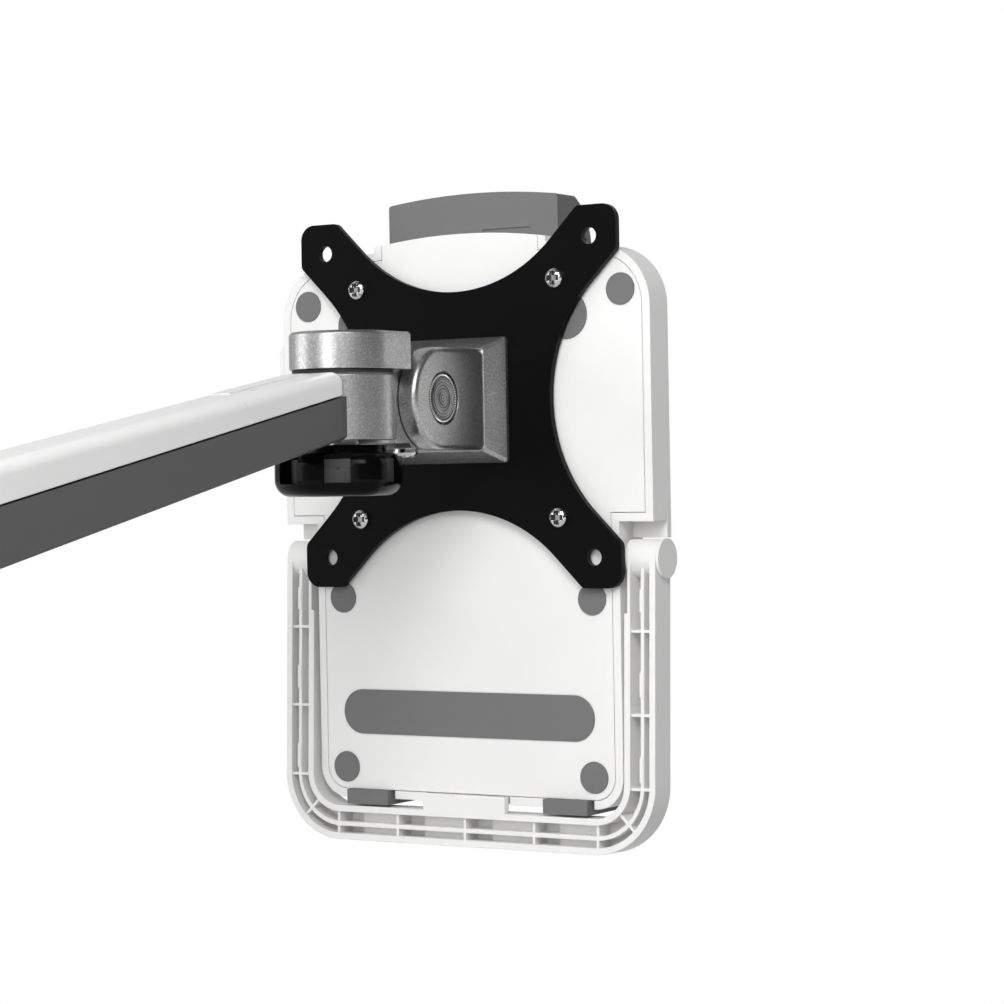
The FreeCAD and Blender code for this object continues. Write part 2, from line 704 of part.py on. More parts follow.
def build_head_block():
    head = Piece("head_block")
    face = -s.slip
    edge_back = face - s.flange_edge
    neck = -s.flange_depth

    def flange(draw):
        f = s.flange_half
        r = s.flange_round
        draw.path([(-f, -f, r), (f, -f, r), (f, f, r), (-f, f, r)])

    def shoulder(draw):
        e = s.ear_half + s.neck_step
        r = s.flange_round
        draw.path([(-e, -e, r), (e, -e, r), (e, e, r), (-e, e, r)])

    def ears(draw):
        r = s.ear_radius
        draw.rectangle(tilt_y, -r, neck / 2, r)

    head.pad("X", -s.ear_half, s.ear_half, ears)
    head.pad("X", -s.ear_half, s.ear_half, lambda draw: draw.circle(tilt_y, 0, s.ear_radius))

    def is_round_end(edge):
        on_side = near(abs(edge.CenterOfMass.x), s.ear_half)
        return on_side and isinstance(edge.Curve, Part.Circle)

    head.fillet(is_round_end, s.ear_round)
    head.pad("Y", edge_back, face, flange)
    head.loft([("Y", edge_back, flange), ("Y", neck, shoulder)])
    behind = tilt_y - s.ear_radius * 1.5

    def slot(draw):
        g = s.ear_gap_half
        draw.rectangle(-g, behind, g, -s.ear_slot_floor)

    head.pocket("Z", -s.flange_half, s.flange_half, slot)

    half = s.ear_half
    seat = s.plug_radius + s.plug_gap
    head.pocket("X", half - s.plug_recess, half, lambda draw: draw.circle(tilt_y, 0, seat))
    head.pocket("X", -half, -half + s.plug_recess, lambda draw: draw.circle(tilt_y, 0, seat))
    head.pocket("X", -half, half, lambda draw: draw.circle(tilt_y, 0, s.tilt_bolt_radius))
    head.pocket("Y", neck, 0, lambda draw: draw.circle(0, 0, s.pivot_radius))
    return head.finish()


def build_tilt_parts():
    inner = s.ear_half - s.plug_recess
    pieces = [carried_rod("tilt_bolt", "X", s.tilt_bolt_radius, -inner, inner, (tilt_y, 0))]
    for side, sign in (("left", -1), ("right", 1)):
        plug = Piece(f"tilt_plug_{side}")
        ends = sorted([inner * sign, (inner + s.plug_thickness) * sign], key=number)
        plug.pad("X", *ends, lambda draw: draw.circle(tilt_y, 0, s.plug_radius))
        outer = (inner + s.plug_thickness) * sign
        ring_ends = sorted([outer - s.plug_thickness * 0.2 * sign, outer], key=number)

        def ring(draw):
            draw.circle(tilt_y, 0, s.plug_radius * 0.86)
            draw.circle(tilt_y, 0, s.plug_radius * 0.78)

        plug.pocket("X", *ring_ends, ring)
        pieces.append(plug.finish())
    return pieces


def build_yoke():
    yoke = Piece("yoke")
    front = hub_y + s.cap_front

    def cap_body(draw):
        draw.rectangle(-s.hub_radius, hub_y, s.hub_radius, front)

    yoke.pad("Z", cap_bottom, cap_top, cap_body)
    yoke.pad("Z", cap_bottom, cap_top, lambda draw: draw.circle(0, hub_y, s.hub_radius))
    foot = hub_y + s.lock_screw_back + s.lock_screw_radius + s.fit_gap
    slope_foot = tilt_y - s.tongue_radius * 0.3
    knob_front = hub_y + knob_reach + s.fit_gap * 2
    floor_z = -s.knob_top + s.fit_gap * 2
    drop = -s.tongue_drop
    back = front - s.tongue_half
    blend = s.tongue_blend

    def tongue(draw):
        draw.path([
            (back, cap_bottom), (back, floor_z), (knob_front, floor_z),
            (knob_front + blend, drop), (foot, drop), (foot, 0),
            (tilt_y, s.tongue_radius), (slope_foot, s.tongue_radius),
            (front + blend * 2, cap_top - blend), (back, cap_top - blend),
        ])

    half = s.tongue_half
    yoke.pad("X", -half, half, tongue)
    yoke.pad("X", -half, half, lambda draw: draw.circle(tilt_y, 0, s.tongue_radius))
    relief = s.hub_radius + s.fit_gap * 1.5
    yoke.pocket("Z", -s.tongue_drop - 1, cap_bottom, lambda draw: draw.circle(0, hub_y, relief))

    def is_cap_edge(edge):
        flat_ring = isinstance(edge.Curve, Part.Circle) and edge.BoundBox.ZLength < 1e-3
        return flat_ring and near(edge.CenterOfMass.z, cap_top)

    yoke.chamfer(is_cap_edge, s.hub_edge)
    bolt_hole = s.tilt_bolt_radius + s.running_gap
    yoke.pocket("X", -half, half, lambda draw: draw.circle(tilt_y, 0, bolt_hole))
    yoke.pocket("Z", cap_bottom, stud_top, lambda draw: draw.circle(0, hub_y, s.stud_radius))
    lock_y = hub_y + s.lock_screw_back
    shank = s.lock_screw_radius / 2
    yoke.pocket("Z", drop, drop + s.lock_screw_radius, lambda draw: draw.circle(0, lock_y, shank))
    return yoke.finish()


def build_swivel_parts():
    stud = carried_rod("swivel_stud", "Z", s.stud_radius, stud_bottom, stud_top, (0, hub_y))
    washer = Piece("friction_washer")

    def ring(draw):
        draw.circle(0, hub_y, s.hub_radius - s.hub_edge)
        draw.circle(0, hub_y, s.stud_radius + s.running_gap)

    washer.pad("Z", s.hub_top, s.hub_top + s.washer_thickness, ring)
    lock = doc.addObject("Part::Feature", "tilt_lock_screw")
    radius = number(s.lock_screw_radius)
    shape = screw_shape(radius, number(s.lock_screw_height), radius / 2, radius)
    shape.rotate(Vector(), Vector(1, 0, 0), 90)
    shape.translate(Vector(0, number(hub_y + s.lock_screw_back), number(-s.tongue_drop)))
    lock.Shape = Part.Compound([shape])
    return [stud, washer.finish(), carry_to_origin(lock)]


def knob_outline():
    """Three lobes of one constant width, as six arcs that run into each other."""
    corners = []
    bow = s.knob_lobe_reach * math.sqrt(3) + s.knob_lobe_round
    for lobe in LOBE_ANGLES:
        out = math.radians(lobe)
        for turn, arc in ((-30, s.knob_lobe_round), (30, bow)):
            side = math.radians(lobe + turn)
            x = s.knob_lobe_reach * math.cos(out) + s.knob_lobe_round * math.cos(side)
            y = s.knob_lobe_reach * math.sin(out) + s.knob_lobe_round * math.sin(side)
            corners.append((x, hub_y + y, None, arc))
    return corners


def build_knob():
    knob = Piece("clamp_knob")
    top = -s.knob_top
    bottom = top - s.knob_height
    body_top = top - s.knob_collar_height
    knob.pad("Z", bottom, body_top, lambda draw: draw.path(knob_outline()))

    def is_lower_edge(edge):
        return isinstance(edge.Curve, Part.Circle) and near(edge.CenterOfMass.z, bottom)

    def is_upper_edge(edge):
        return isinstance(edge.Curve, Part.Circle) and near(edge.CenterOfMass.z, body_top)

    knob.fillet(is_lower_edge, s.knob_edge)
    knob.fillet(is_upper_edge, s.knob_brow)
    knob.pad("Z", body_top, top, lambda draw: draw.circle(0, hub_y, s.knob_collar_radius))
    near_edge = s.knob_core_radius
    far_edge = knob_reach + s.knob_window
    half = s.knob_window / 2
    box = ((near_edge, -half), (far_edge, -half), (far_edge, half), (near_edge, half))
    for turn in range(6):
        angle = math.radians(60 * turn + WINDOW_START)
        out = (math.cos(angle), math.sin(angle))
        side = (-out[1], out[0])

        def window(draw):
            corners = []
            for along, across in box:
                x = along * out[0] + across * side[0]
                y = along * out[1] + across * side[1]
                corners.append((x, hub_y + y))
            draw.path(corners)

        knob.pocket("Z", bottom + s.knob_window_rise, body_top, window)
    hole = s.stud_radius + s.running_gap
    knob.pocket("Z", stud_bottom - s.slip, top, lambda draw: draw.circle(0, hub_y, hole))
    return knob.finish()


# Arm: a casting with two hubs, and the covers on it

def beam_height(front, rear, distance):
    """Height of a line along the arm at a distance behind the front hub axis."""
    share = (as_size(distance) - s.beam_start) / (s.arm_reach - s.beam_start)
    return front + (rear - s.arm_rise - front) * share


def beam_top(distance):
    return beam_height(s.beam_top_front, s.beam_top_rear, distance)


def beam_seam(distance):
    return beam_height(s.beam_seam_front, s.beam_seam_rear, distance)


def beam_bottom(distance):
    return beam_height(s.beam_bottom_front, s.beam_bottom_rear, distance)


def beam_outline(upper, lower, start, end):
    """Side view of a stretch of the arm between two of its lines."""
    return [
        (hub_y - end, lower(end)),
        (hub_y - start, lower(start)),
        (hub_y - start, upper(start)),
        (hub_y - end, upper(end)),
    ]


def web_top(distance):
    return beam_top(distance) - s.cover_wall


def web_bottom(distance):
    return beam_bottom(distance) + s.cover_wall


def build_front_hub():
    """The hub that the head swivels on, at the front end of the casting's web."""
    hub = Piece("front_hub")
    hub.pad("Z", -s.hub_bottom, s.hub_top, lambda draw: draw.circle(0, hub_y, s.hub_radius))

    def is_top_ring(edge):
        return isinstance(edge.Curve, Part.Circle) and near(edge.CenterOfMass.z, s.hub_top)

    hub.chamfer(is_top_ring, s.hub_edge)
    stud_hole = s.stud_radius + s.running_gap
    hub.pocket("Z", -s.hub_bottom, s.hub_top, lambda draw: draw.circle(0, hub_y, stud_hole))
    return hub.finish()


def build_arm_casting():
    """The web inside the covers with the rear hub."""
    arm = Piece("arm_casting")
    rear_y = hub_y - s.arm_reach
    rear_low = -s.arm_rise - s.rear_hub_height / 2
    rear_high = -s.arm_rise + s.rear_hub_height / 2
    arm.pad("X", -s.beam_half / 2, s.beam_half / 2,
            lambda draw: draw.path(beam_outline(web_top, web_bottom, s.beam_start, s.arm_reach)))
    arm.pad("Z", rear_low, rear_high, lambda draw: draw.circle(0, rear_y, s.rear_hub_radius))

    def is_hub_edge(edge):
        if not isinstance(edge.Curve, Part.Circle):
            return False
        flat = edge.BoundBox.ZLength < 1e-3
        return flat and near(edge.Curve.Radius, s.rear_hub_radius)

    arm.chamfer(is_hub_edge, s.hub_edge)
    low = -s.hub_bottom - s.hub_radius
    arm.pocket("Z", low, s.hub_top, lambda draw: draw.circle(0, hub_y, s.hub_radius))
    arm.pocket("Z", rear_low, rear_high, lambda draw: draw.circle(0, rear_y, s.post_bore_radius))
    return arm.finish()


def build_arm_cover(label, upper, lower, web_upper, web_lower, is_long_edge, radius, setback):
    """A hollow cover: the arm's full width less the casting's web and the two hubs."""
    cover = Piece(label)
    start = s.beam_start - s.fit_gap * 4
    end = s.arm_reach - s.beam_start
    cover.pad("X", -s.beam_half, s.beam_half,
              lambda draw: draw.path(beam_outline(upper, lower, start, end)))
    cover.fillet(is_long_edge, radius)
    web = s.beam_half / 2
    beyond = s.beam_start / 6
    cover.pocket("X", -web, web, lambda draw: draw.path(
        beam_outline(web_upper, web_lower, start - beyond, end + beyond)))
    low = -s.arm_rise - s.rear_hub_height
    high = s.hub_top + s.rear_hub_height
    cover.pocket("Z", low, high, lambda draw: draw.circle(0, hub_y, s.hub_radius + setback))
    rear_y = hub_y - s.arm_reach
    cover.pocket("Z", low, high, lambda draw: draw.circle(0, rear_y, s.rear_hub_radius))
    return cover.finish()


def build_arm_covers():
    gap = s.beam_seam_gap / 2

    def upper_seam(distance):
        return beam_seam(distance) + gap

    def lower_seam(distance):
        return beam_seam(distance) - gap

    def below(distance):
        return beam_bottom(distance) - s.cover_wall

    def above(distance):
        return beam_top(distance) + s.cover_wall

    def on_line(edge, line):
        if len(edge.Vertexes) != 2:
            return False
        for vertex in edge.Vertexes:
            distance = number(hub_y) - vertex.Point.y
            outside = near(abs(vertex.Point.x), s.beam_half)
            if not outside or not near(vertex.Point.z, line(distance)):
                return False
        return True

    top = build_arm_cover("arm_top_cover", beam_top, upper_seam, web_top, below,
                          lambda edge: on_line(edge, beam_top), s.beam_round,
                          s.top_cover_setback)
    low = build_arm_cover("arm_lower_cover", lower_seam, beam_bottom, above, web_bottom,
                          lambda edge: on_line(edge, beam_bottom), s.lower_round, 0)
    return [top, low]


def build_arm_strip():
    """A low strip on the far side of the upper cover."""
    strip = Piece("arm_top_strip")
    start = s.strip_start
    end = s.strip_start + s.strip_length

    def raised(distance):
        return beam_top(distance) + s.strip_height

    far = -s.beam_half + s.beam_round
    strip.pad("X", far, far + s.strip_width,
              lambda draw: draw.path(beam_outline(raised, beam_top, start, end)))
    return strip.finish()


# Holder shell

def arch_edge(across, inset):
    """Height of the arch's crown at a place across, moved in by the inset."""
    foot = root(s.crown_radius * s.crown_radius - s.arch_half * s.arch_half)
    crown = s.crown_radius - inset
    return s.arch_foot + s.arch_step - foot + root(crown * crown - across * across)


def body_outline(inset, bottom_radius, arch_inset):
    """The holder's outline with its arched top, moved in by the insets."""
    side = s.body_half - inset
    low_side = lower_half - inset
    shoulder = -s.shoulder + inset
    slope = (s.arch_foot - s.body_top) / (s.body_half - s.arch_half)
    down = inset * (1 - slope)
    arch = s.arch_half - inset
    return both_sides([
        (low_side, -s.body_bottom + inset, bottom_radius),
        (low_side, shoulder),
        (side, shoulder),
        (side, s.body_top - down, s.body_corner - inset),
        (arch, s.arch_foot - down),
        (arch, arch_edge(arch, arch_inset), None, s.crown_radius - arch_inset),
    ])


def build_front_shell():
    shell = Piece("front_shell")
    back = cover_back
    front = shell_front
    flush = as_size(0)
    outline = body_outline(flush, s.bottom_corner, flush)
    shell.pad("Y", back, front, lambda draw: draw.path(outline))
    for sign in (-1, 1):
        ends = sorted([(lower_half - s.rim) * sign, s.body_half * sign], key=number)

        def block(draw):
            draw.rectangle(ends[0], -s.shoulder - s.block_drop, ends[1], -s.shoulder + s.rim)

        shell.pad("Y", back + s.block_back, front, block)

    seat = body_outline(s.rim, s.cover_corner, -s.rim)
    wall = s.rim + s.ledge
    hollow = body_outline(wall, s.cover_corner - s.ledge, wall)
    shell.pocket("Y", back, cover_front, lambda draw: draw.path(seat))
    shell.pocket("Y", cover_front, channel_back, lambda draw: draw.path(hollow))
    side_in = s.channel_half + s.floor

    def deep_sides(draw):
        for sign in (-1, 1):
            near_x, far_x = sorted([side_in * sign, (lower_half - s.rim) * sign], key=number)
            draw.rectangle(near_x, -s.shoulder, far_x, s.body_top - s.body_corner / 2)

    def deep_bottom(draw):
        inset = s.rim + s.ledge
        edge = lower_half - inset
        corner = s.cover_corner - s.ledge
        draw.path([
            (-edge, -s.body_bottom + inset, corner),
            (edge, -s.body_bottom + inset, corner),
            (edge, -s.channel_bottom - s.floor),
            (-edge, -s.channel_bottom - s.floor),
        ])

    def deep_flanks(draw):
        top = s.button_top + s.button_flange + s.fit_gap
        for sign in (-1, 1):
            inner = lower_half - s.rim
            outer = s.body_half - s.rim - s.ledge
            near_x, far_x = sorted([inner * sign, outer * sign], key=number)
            draw.rectangle(near_x, -s.shoulder + s.rim + s.ledge, far_x, top)

    shell.pocket("Y", channel_back, floor_back, deep_sides)
    shell.pocket("Y", channel_back, floor_back, deep_flanks)
    shell.pocket("Y", channel_back, floor_back, deep_bottom)

    def channel(draw):
        half = s.channel_half
        draw.rectangle(-half, -s.channel_bottom, half, clamp_top)

    shell.pocket("Y", channel_face, front, channel)

    def rail_slot(draw):
        half = s.slot_half + s.fit_gap
        top = s.tee_length - s.tee_drop + s.slide_up + s.fit_gap
        draw.rectangle(-half, -s.tee_drop - s.slide_down - s.fit_gap, half, top)

    shell.pocket("Y", channel_back, channel_face, rail_slot)

    def bosses(draw):
        for across in (-1, 1):
            for up in (-1, 1):
                draw.circle(s.inner_hole_half * across, s.inner_hole_half * up, s.boss_radius)

    def boss_holes(draw):
        for across in (-1, 1):
            for up in (-1, 1):
                draw.circle(s.inner_hole_half * across, s.inner_hole_half * up, s.screw_radius)

    shell.pad("Y", cover_front, floor_back, bosses)
    shell.pocket("Y", cover_front, floor_back, boss_holes)

    def pin_bosses(draw):
        for sign in (-1, 1):
            ends = sorted([pin_inner * sign, (lower_half - s.rim) * sign], key=number)
            half = s.pin_radius + s.rim
            draw.rectangle(ends[0], -s.hinge_down - half, ends[1], -s.hinge_down + half)

    shell.pad("Y", cover_front, floor_back, pin_bosses)
    for sign in (-1, 1):
        ends = sorted([pin_inner * sign, lower_half * sign], key=number)
        shell.pocket("X", *ends, lambda draw: draw.circle(hinge_y, -s.hinge_down, s.pin_radius))

    def rails(draw):
        for sign in (-1, 1):
            ends = sorted([rail_near * sign, rail_far * sign], key=number)
            r = s.grip_margin
            draw.path([(ends[0], -s.rail_bottom, r), (ends[1], -s.rail_bottom, r),
                       (ends[1], s.rail_top, r), (ends[0], s.rail_top, r)])

    shell.pad("Y", front, front + s.rail_height, rails)

    def hook_notches(draw):
        for low, high in hook_spans(s.slip, s.hook_relief):
            draw.rectangle(low, -s.body_bottom - 1, high, -hook_top + s.slip)

    shell.pocket("Y", back, front, hook_notches)

    def tab_notch(draw):
        half = s.leg_tab_half + s.fit_gap
        draw.rectangle(-half, -s.body_bottom - 1, half, -leg_tab_top + s.fit_gap)

    shell.pocket("Y", back, back + s.leg_tab_depth + s.fit_gap * 2, tab_notch)
    gap = s.fit_gap / 2

    def button_hole(draw):
        low = s.button_top - s.button_length - gap
        y = back + s.button_back
        draw.rectangle(y - gap, low, y + s.button_depth + gap, s.button_top + gap)

    shell.pocket("X", -s.body_half - 1, -s.body_half + s.rim + s.ledge + 1, button_hole)
    return shell.finish()


def hook_spans(slack, relief):
    """The lower hooks' stretches across, left then right."""
    left = (-hook_far - slack, -hook_near + slack + relief)
    right = (hook_near - slack, hook_far + slack + relief)
    return [left, right]


def build_back_cover():
    cover = Piece("back_cover")
    inset = s.rim + s.seam
    back = cover_back
    front = cover_front
    outline = body_outline(inset, s.cover_corner - s.seam, as_size(0))
    cover.pad("Y", back, front, lambda draw: draw.path(outline))

    def recesses(draw):
        for across, up, radius in pad_places():
            draw.circle(across, up, radius)

    cover.pocket("Y", back, back + s.pad_seat, recesses)
    cover.pocket("Y", back, back + s.pad_seat, lambda draw: draw.path(long_pad_outline()))

    def holes(draw):
        for across in (-1, 1):
            for up in (-1, 1):
                radius = s.screw_radius + s.screw_clearance
                draw.circle(s.inner_hole_half * across, s.inner_hole_half * up, radius)

    def standoffs(draw):
        for across in (-1, 1):
            for up in (-1, 1):
                draw.circle(s.inner_hole_half * across, s.inner_hole_half * up, s.standoff_radius)

    cover.pad("Y", s.plate_thickness, back, standoffs)
    cover.pocket("Y", s.plate_thickness, front, holes)
    well = s.pivot_head_radius + s.fit_gap * 2
    well_depth = s.plate_thickness + s.pivot_head_height + s.fit_gap
    cover.pocket("Y", back, well_depth, lambda draw: draw.circle(0, 0, well))
    return cover.finish()


# Rear pads

def pad_places():
    """Middle and radius of each round rear pad, left then right, from the top down."""
    rows = [
        (upper_pad_across, s.upper_pad_up, s.pad_radius),
        (inner_pad_across, s.inner_pad_up, s.inner_pad_radius),
        (middle_pad_across, -s.middle_pad_down, s.pad_radius),
        (lower_pad_across, -lower_pad_down, s.pad_radius),
    ]
    places = []
    for across, up, radius in rows:
        places.append((-across, up, radius))
        places.append((across, up, radius))
    return places


def long_pad_outline():
    half = long_pad_half
    low = -long_pad_bottom
    high = -long_pad_top
    r = s.long_pad_radius * NEARLY
    return [(-half, low, r), (half, low, r), (half, high, r), (-half, high, r)]


def build_rear_pads():
    face = cover_back - s.pad_proud
    seat = cover_back + s.pad_seat
    names = ["upper_pad", "inner_pad", "middle_pad", "lower_pad"]
    pieces = []
    for index, (across, up, radius) in enumerate(pad_places()):
        side = ("left", "right")[index % 2]
        label = f"{names[index // 2]}_{side}"
        pieces.append(carried_rod(label, "Y", radius, face, seat, (across, up)))
    long_pad = Piece("long_pad")
    long_pad.pad("Y", face, seat, lambda draw: draw.path(long_pad_outline()))
    pieces.append(long_pad.finish())
    return pieces


def build_front_grips():
    """Rubber strips that the tablet's back lies on."""
    pieces = []
    back = shell_front + s.rail_height
    margin = s.grip_margin
    for side, sign in (("left", -1), ("right", 1)):
        grip = Piece(f"front_grip_{side}")
        ends = sorted([(rail_near + margin) * sign, (rail_far - margin) * sign], key=number)

        def outline(draw):
            low = -s.rail_bottom + margin
            high = s.rail_top - margin
            r = margin
            draw.path([(ends[0], low, r), (ends[1], low, r), (ends[1], high, r), (ends[0], high, r)])

        grip.pad("Y", back, back + s.grip_thickness, outline)
        pieces.append(grip.finish())
    return pieces


# Clamp, hooks and button

def build_top_clamp():
    clamp = Piece("top_clamp")
    back = channel_face + s.slip
    lip_front = lip_back + s.clamp_lip
    slider_front = shell_front - s.slip
    half = s.clamp_half
    brow = s.clamp_rise + s.clamp_brow_drop

    def profile(draw):
        draw.path([
            (back, -s.clamp_slider_bottom), (slider_front, -s.clamp_slider_bottom),
            (slider_front, s.clamp_under), (lip_back, s.clamp_under),
            (lip_back, s.clamp_under - s.clamp_lip_drop), (lip_front, s.clamp_under - s.clamp_lip_drop),
            (lip_front, clamp_top, brow), (back, clamp_top),
        ])

    clamp.pad("X", -half, half, profile)
    centre = clamp_top - s.clamp_crown

    def crown(draw):
        draw.circle(0, centre, s.clamp_crown)
        draw.circle(0, centre, s.clamp_crown + s.body_corner)

    clamp.pocket("Y", back, lip_front, crown)

    def is_end_edge(edge):
        box = edge.BoundBox
        on_end = box.XLength < 1e-3 and near(abs(edge.CenterOfMass.x), half)
        return on_end and box.YLength > 0.01 and box.ZMax > number(s.clamp_under) + 0.01

    clamp.fillet(is_end_edge, s.clamp_round)

    def recess(draw):
        low = s.clamp_under - s.clamp_recess_rise
        high = s.clamp_under + s.clamp_recess_rise
        draw.rectangle(s.clamp_recess_near, low, s.clamp_recess_far, high)

    clamp.pocket("Y", back, back + s.clamp_recess_depth, recess)
    return clamp.finish()


def build_clamp_rail():
    """The tee behind the slot that keeps the clamp on the shell."""
    rail = Piece("clamp_rail")
    neck_back = channel_back - s.slip
    face = channel_face + s.slip
    low = -s.tee_drop

    def neck(draw):
        draw.rectangle(-s.slot_half, low, s.slot_half, low + s.tee_length)

    def tee(draw):
        draw.rectangle(-s.tee_half, low, s.tee_half, low + s.tee_length)

    rail.pad("Y", neck_back, face, neck)
    rail.pad("Y", neck_back - s.tee_thickness, neck_back, tee)
    return rail.finish()


def build_lower_hooks():
    pieces = []
    lip_front = lip_back + s.hook_lip
    back = cover_back - s.hook_proud
    ledge_back = shell_front + s.fit_gap

    def profile(draw):
        draw.path([
            (back, -hook_bottom), (lip_front, -hook_bottom, s.hook_lip),
            (lip_front, -hook_ledge + s.hook_lip_rise, s.hook_lip * 0.45),
            (lip_back, -hook_ledge + s.hook_lip_rise, s.hook_lip * 0.45),
            (lip_back, -hook_ledge), (ledge_back, -hook_ledge),
            (ledge_back, -hook_top), (back, -hook_top),
        ])

    for label, (low, high) in zip(("lower_hook_left", "lower_hook_right"), hook_spans(0, 0)):
        hook = Piece(label)
        hook.pad("X", low, high, profile)
        pieces.append(hook.finish())
    return pieces


def build_release_button():
    button = Piece("release_button")
    y = cover_back + s.button_back
    low = s.button_top - s.button_length
    outer = -s.body_half - s.button_out
    wall = -s.body_half + s.rim + s.ledge + s.slip

    def face(draw):
        draw.rectangle(y, low, y + s.button_depth, s.button_top)

    def flange(draw):
        grow = s.button_flange
        draw.rectangle(y - grow / 2, low - grow, y + s.button_depth, s.button_top + grow)

    button.pad("X", outer, wall + s.button_flange, face)
    button.pad("X", wall, wall + s.button_flange, flange)

    def stem(draw):
        quarter = s.button_length / 4
        draw.rectangle(y, low + quarter, y + s.button_depth / 2, s.button_top - quarter)

    button.pad("X", wall + s.button_flange, wall + s.button_stem, stem)

    def is_corner(edge):
        box = edge.BoundBox
        return box.YLength > number(s.button_depth) - 0.01 and near(edge.CenterOfMass.x, outer)

    button.fillet(is_corner, s.button_out * 0.8)
    return button.finish()


# Folding leg and its pins

def leg_outline(outer_inset, inner_inset, top):
    """The closed leg's U between two lines moved in from its outer and inner walls."""
    side = leg_half - outer_inset
    inner = leg_half - s.leg_width + inner_inset
    low = -leg_bottom + outer_inset
    high = -leg_bottom + s.leg_bar - inner_inset
    outer_corner = s.leg_corner - outer_inset
    inner_corner = s.leg_corner - s.leg_width + inner_inset
    return [
        (-side, top), (-side, low, outer_corner), (side, low, outer_corner), (side, top),
        (inner, top), (inner, high, inner_corner), (-inner, high, inner_corner), (-inner, top),
    ]


def build_support_leg():
    """The leg is drawn closed and then stands a little open on its hinge."""
    leg = Piece("support_leg")
    back = cover_back
    front = back + s.leg_depth
    hinge_z = -s.hinge_down
    inner_x = leg_half - s.leg_width
    leg.pad("Y", back, front, lambda draw: draw.path(leg_outline(0, 0, hinge_z)))
    wall = s.leg_wall
    trough = front - s.leg_floor
    foot = trough + s.leg_floor / 4
    leg.pocket("Y", back, trough, lambda draw: draw.path(leg_outline(wall, wall, hinge_z)))
    for sign in (-1, 1):
        ends = sorted([inner_x * sign, leg_half * sign], key=number)
        leg.pad("X", *ends, lambda draw: draw.circle(hinge_y, hinge_z, s.barrel_radius))
    rib_back = back + s.leg_rib_set

    def long_rib(draw):
        near_side = s.leg_mid_rib_in - s.leg_mid_rib / 2
        far_side = s.leg_mid_rib_in + s.leg_mid_rib / 2
        draw.path(leg_outline(s.leg_width - far_side, near_side, hinge_z))

    leg.pad("Y", rib_back, foot, long_rib)
    half_rib = s.leg_rib / 2
    side_in = inner_x + wall / 2
    side_out = leg_half - wall / 2
    bar_low = -leg_bottom + wall / 2
    bar_high = -leg_bottom + s.leg_bar - wall / 2
    bar_span = leg_half - s.leg_corner

    def side_ribs(draw):
        span = leg_bottom - s.leg_corner - s.hinge_down
        for share in SIDE_RIBS:
            z = hinge_z - span * share
            for sign in (-1, 1):
                ends = sorted([side_in * sign, side_out * sign], key=number)
                draw.rectangle(ends[0], z - half_rib, ends[1], z + half_rib)

    def bar_ribs(draw):
        for share in BAR_RIBS:
            x = bar_span * share
            draw.rectangle(x - half_rib, bar_low, x + half_rib, bar_high)

    def corner_ribs(draw):
        centre_x = leg_half - s.leg_corner
        centre_z = -leg_bottom + s.leg_corner
        out_near = (s.leg_corner - s.leg_width + wall / 2) * DIAGONAL
        out_far = (s.leg_corner - wall / 2) * DIAGONAL
        shift = half_rib * DIAGONAL
        for sign in (-1, 1):
            corners = [
                (centre_x + out_near + shift, centre_z - out_near + shift),
                (centre_x + out_near - shift, centre_z - out_near - shift),
                (centre_x + out_far - shift, centre_z - out_far - shift),
                (centre_x + out_far + shift, centre_z - out_far + shift),
            ]
            draw.path([(x * sign, z) for x, z in corners])

    for ribs in (side_ribs, bar_ribs, corner_ribs):
        leg.pad("Y", rib_back, foot, ribs)

    def raised_floor(draw):
        for left, right in zip(BAR_RIBS, BAR_RIBS[1:]):
            start = bar_span * (left + (right - left) * BAY_SHARE)
            draw.rectangle(start, bar_low, bar_span * right, bar_high)

    leg.pad("Y", trough - s.leg_step, foot, raised_floor)

    def tab(draw):
        half = s.leg_tab_half
        draw.rectangle(-half, bar_high, half, -leg_tab_top)

    leg.pad("Y", back, back + s.leg_tab_depth, tab)

    def finger_scoop(draw):
        radius = s.tab_scoop_radius
        draw.circle(0, -leg_tab_top + radius - s.tab_scoop_sink, radius)

    leg.pocket("Y", back, back + s.leg_tab_depth / 2, finger_scoop)
    bore = s.pin_radius + s.running_gap
    for sign in (-1, 1):
        ends = sorted([inner_x * sign, leg_half * sign], key=number)
        leg.pocket("X", *ends, lambda draw: draw.circle(hinge_y, hinge_z, bore))
    # The corners of the bolting plate reach over the leg, which swings past them here
    sweep = hinge_y + s.plate_half - s.hinge_down

    def plate_relief(draw):
        draw.circle(hinge_y, hinge_z, s.barrel_radius)
        draw.circle(hinge_y, hinge_z, sweep)

    for sign in (-1, 1):
        ends = sorted([inner_x * sign, (inner_x + s.leg_relief) * sign], key=number)
        leg.pocket("X", *ends, plate_relief)
    opened = Rotation(Vector(-1, 0, 0), number(s.leg_rest))
    leg.body.Placement = Placement(Vector(), opened)
    bind(leg.body, "Placement.Rotation.Angle", s.leg_rest)
    lean = sine(s.leg_rest)
    short = 1 - cosine(s.leg_rest)
    own_y = hinge_y * short - hinge_z * lean
    own_z = hinge_z * short + hinge_y * lean
    return carry_to_origin(leg.body, own_y, own_z)


def build_hinge_pins():
    centre = (hinge_y, -s.hinge_down)
    left = carried_rod("hinge_pin_left", "X", s.pin_radius, -leg_half, -pin_inner, centre)
    shank = rod("hinge_pin_shank", "X", s.pin_radius, pin_inner, leg_half + s.slip, centre)
    cap_start = leg_half + s.slip
    cap = rod("hinge_pin_cap", "X", s.pin_cap_radius, cap_start, cap_start + s.pin_cap, centre)
    right = fused("hinge_pin_right", shank, [cap])
    return [left, carry_to_origin(right)]


def collect(*groups):
    pieces = []
    for group in groups:
        pieces.extend(group if isinstance(group, list) else [group])
    return pieces


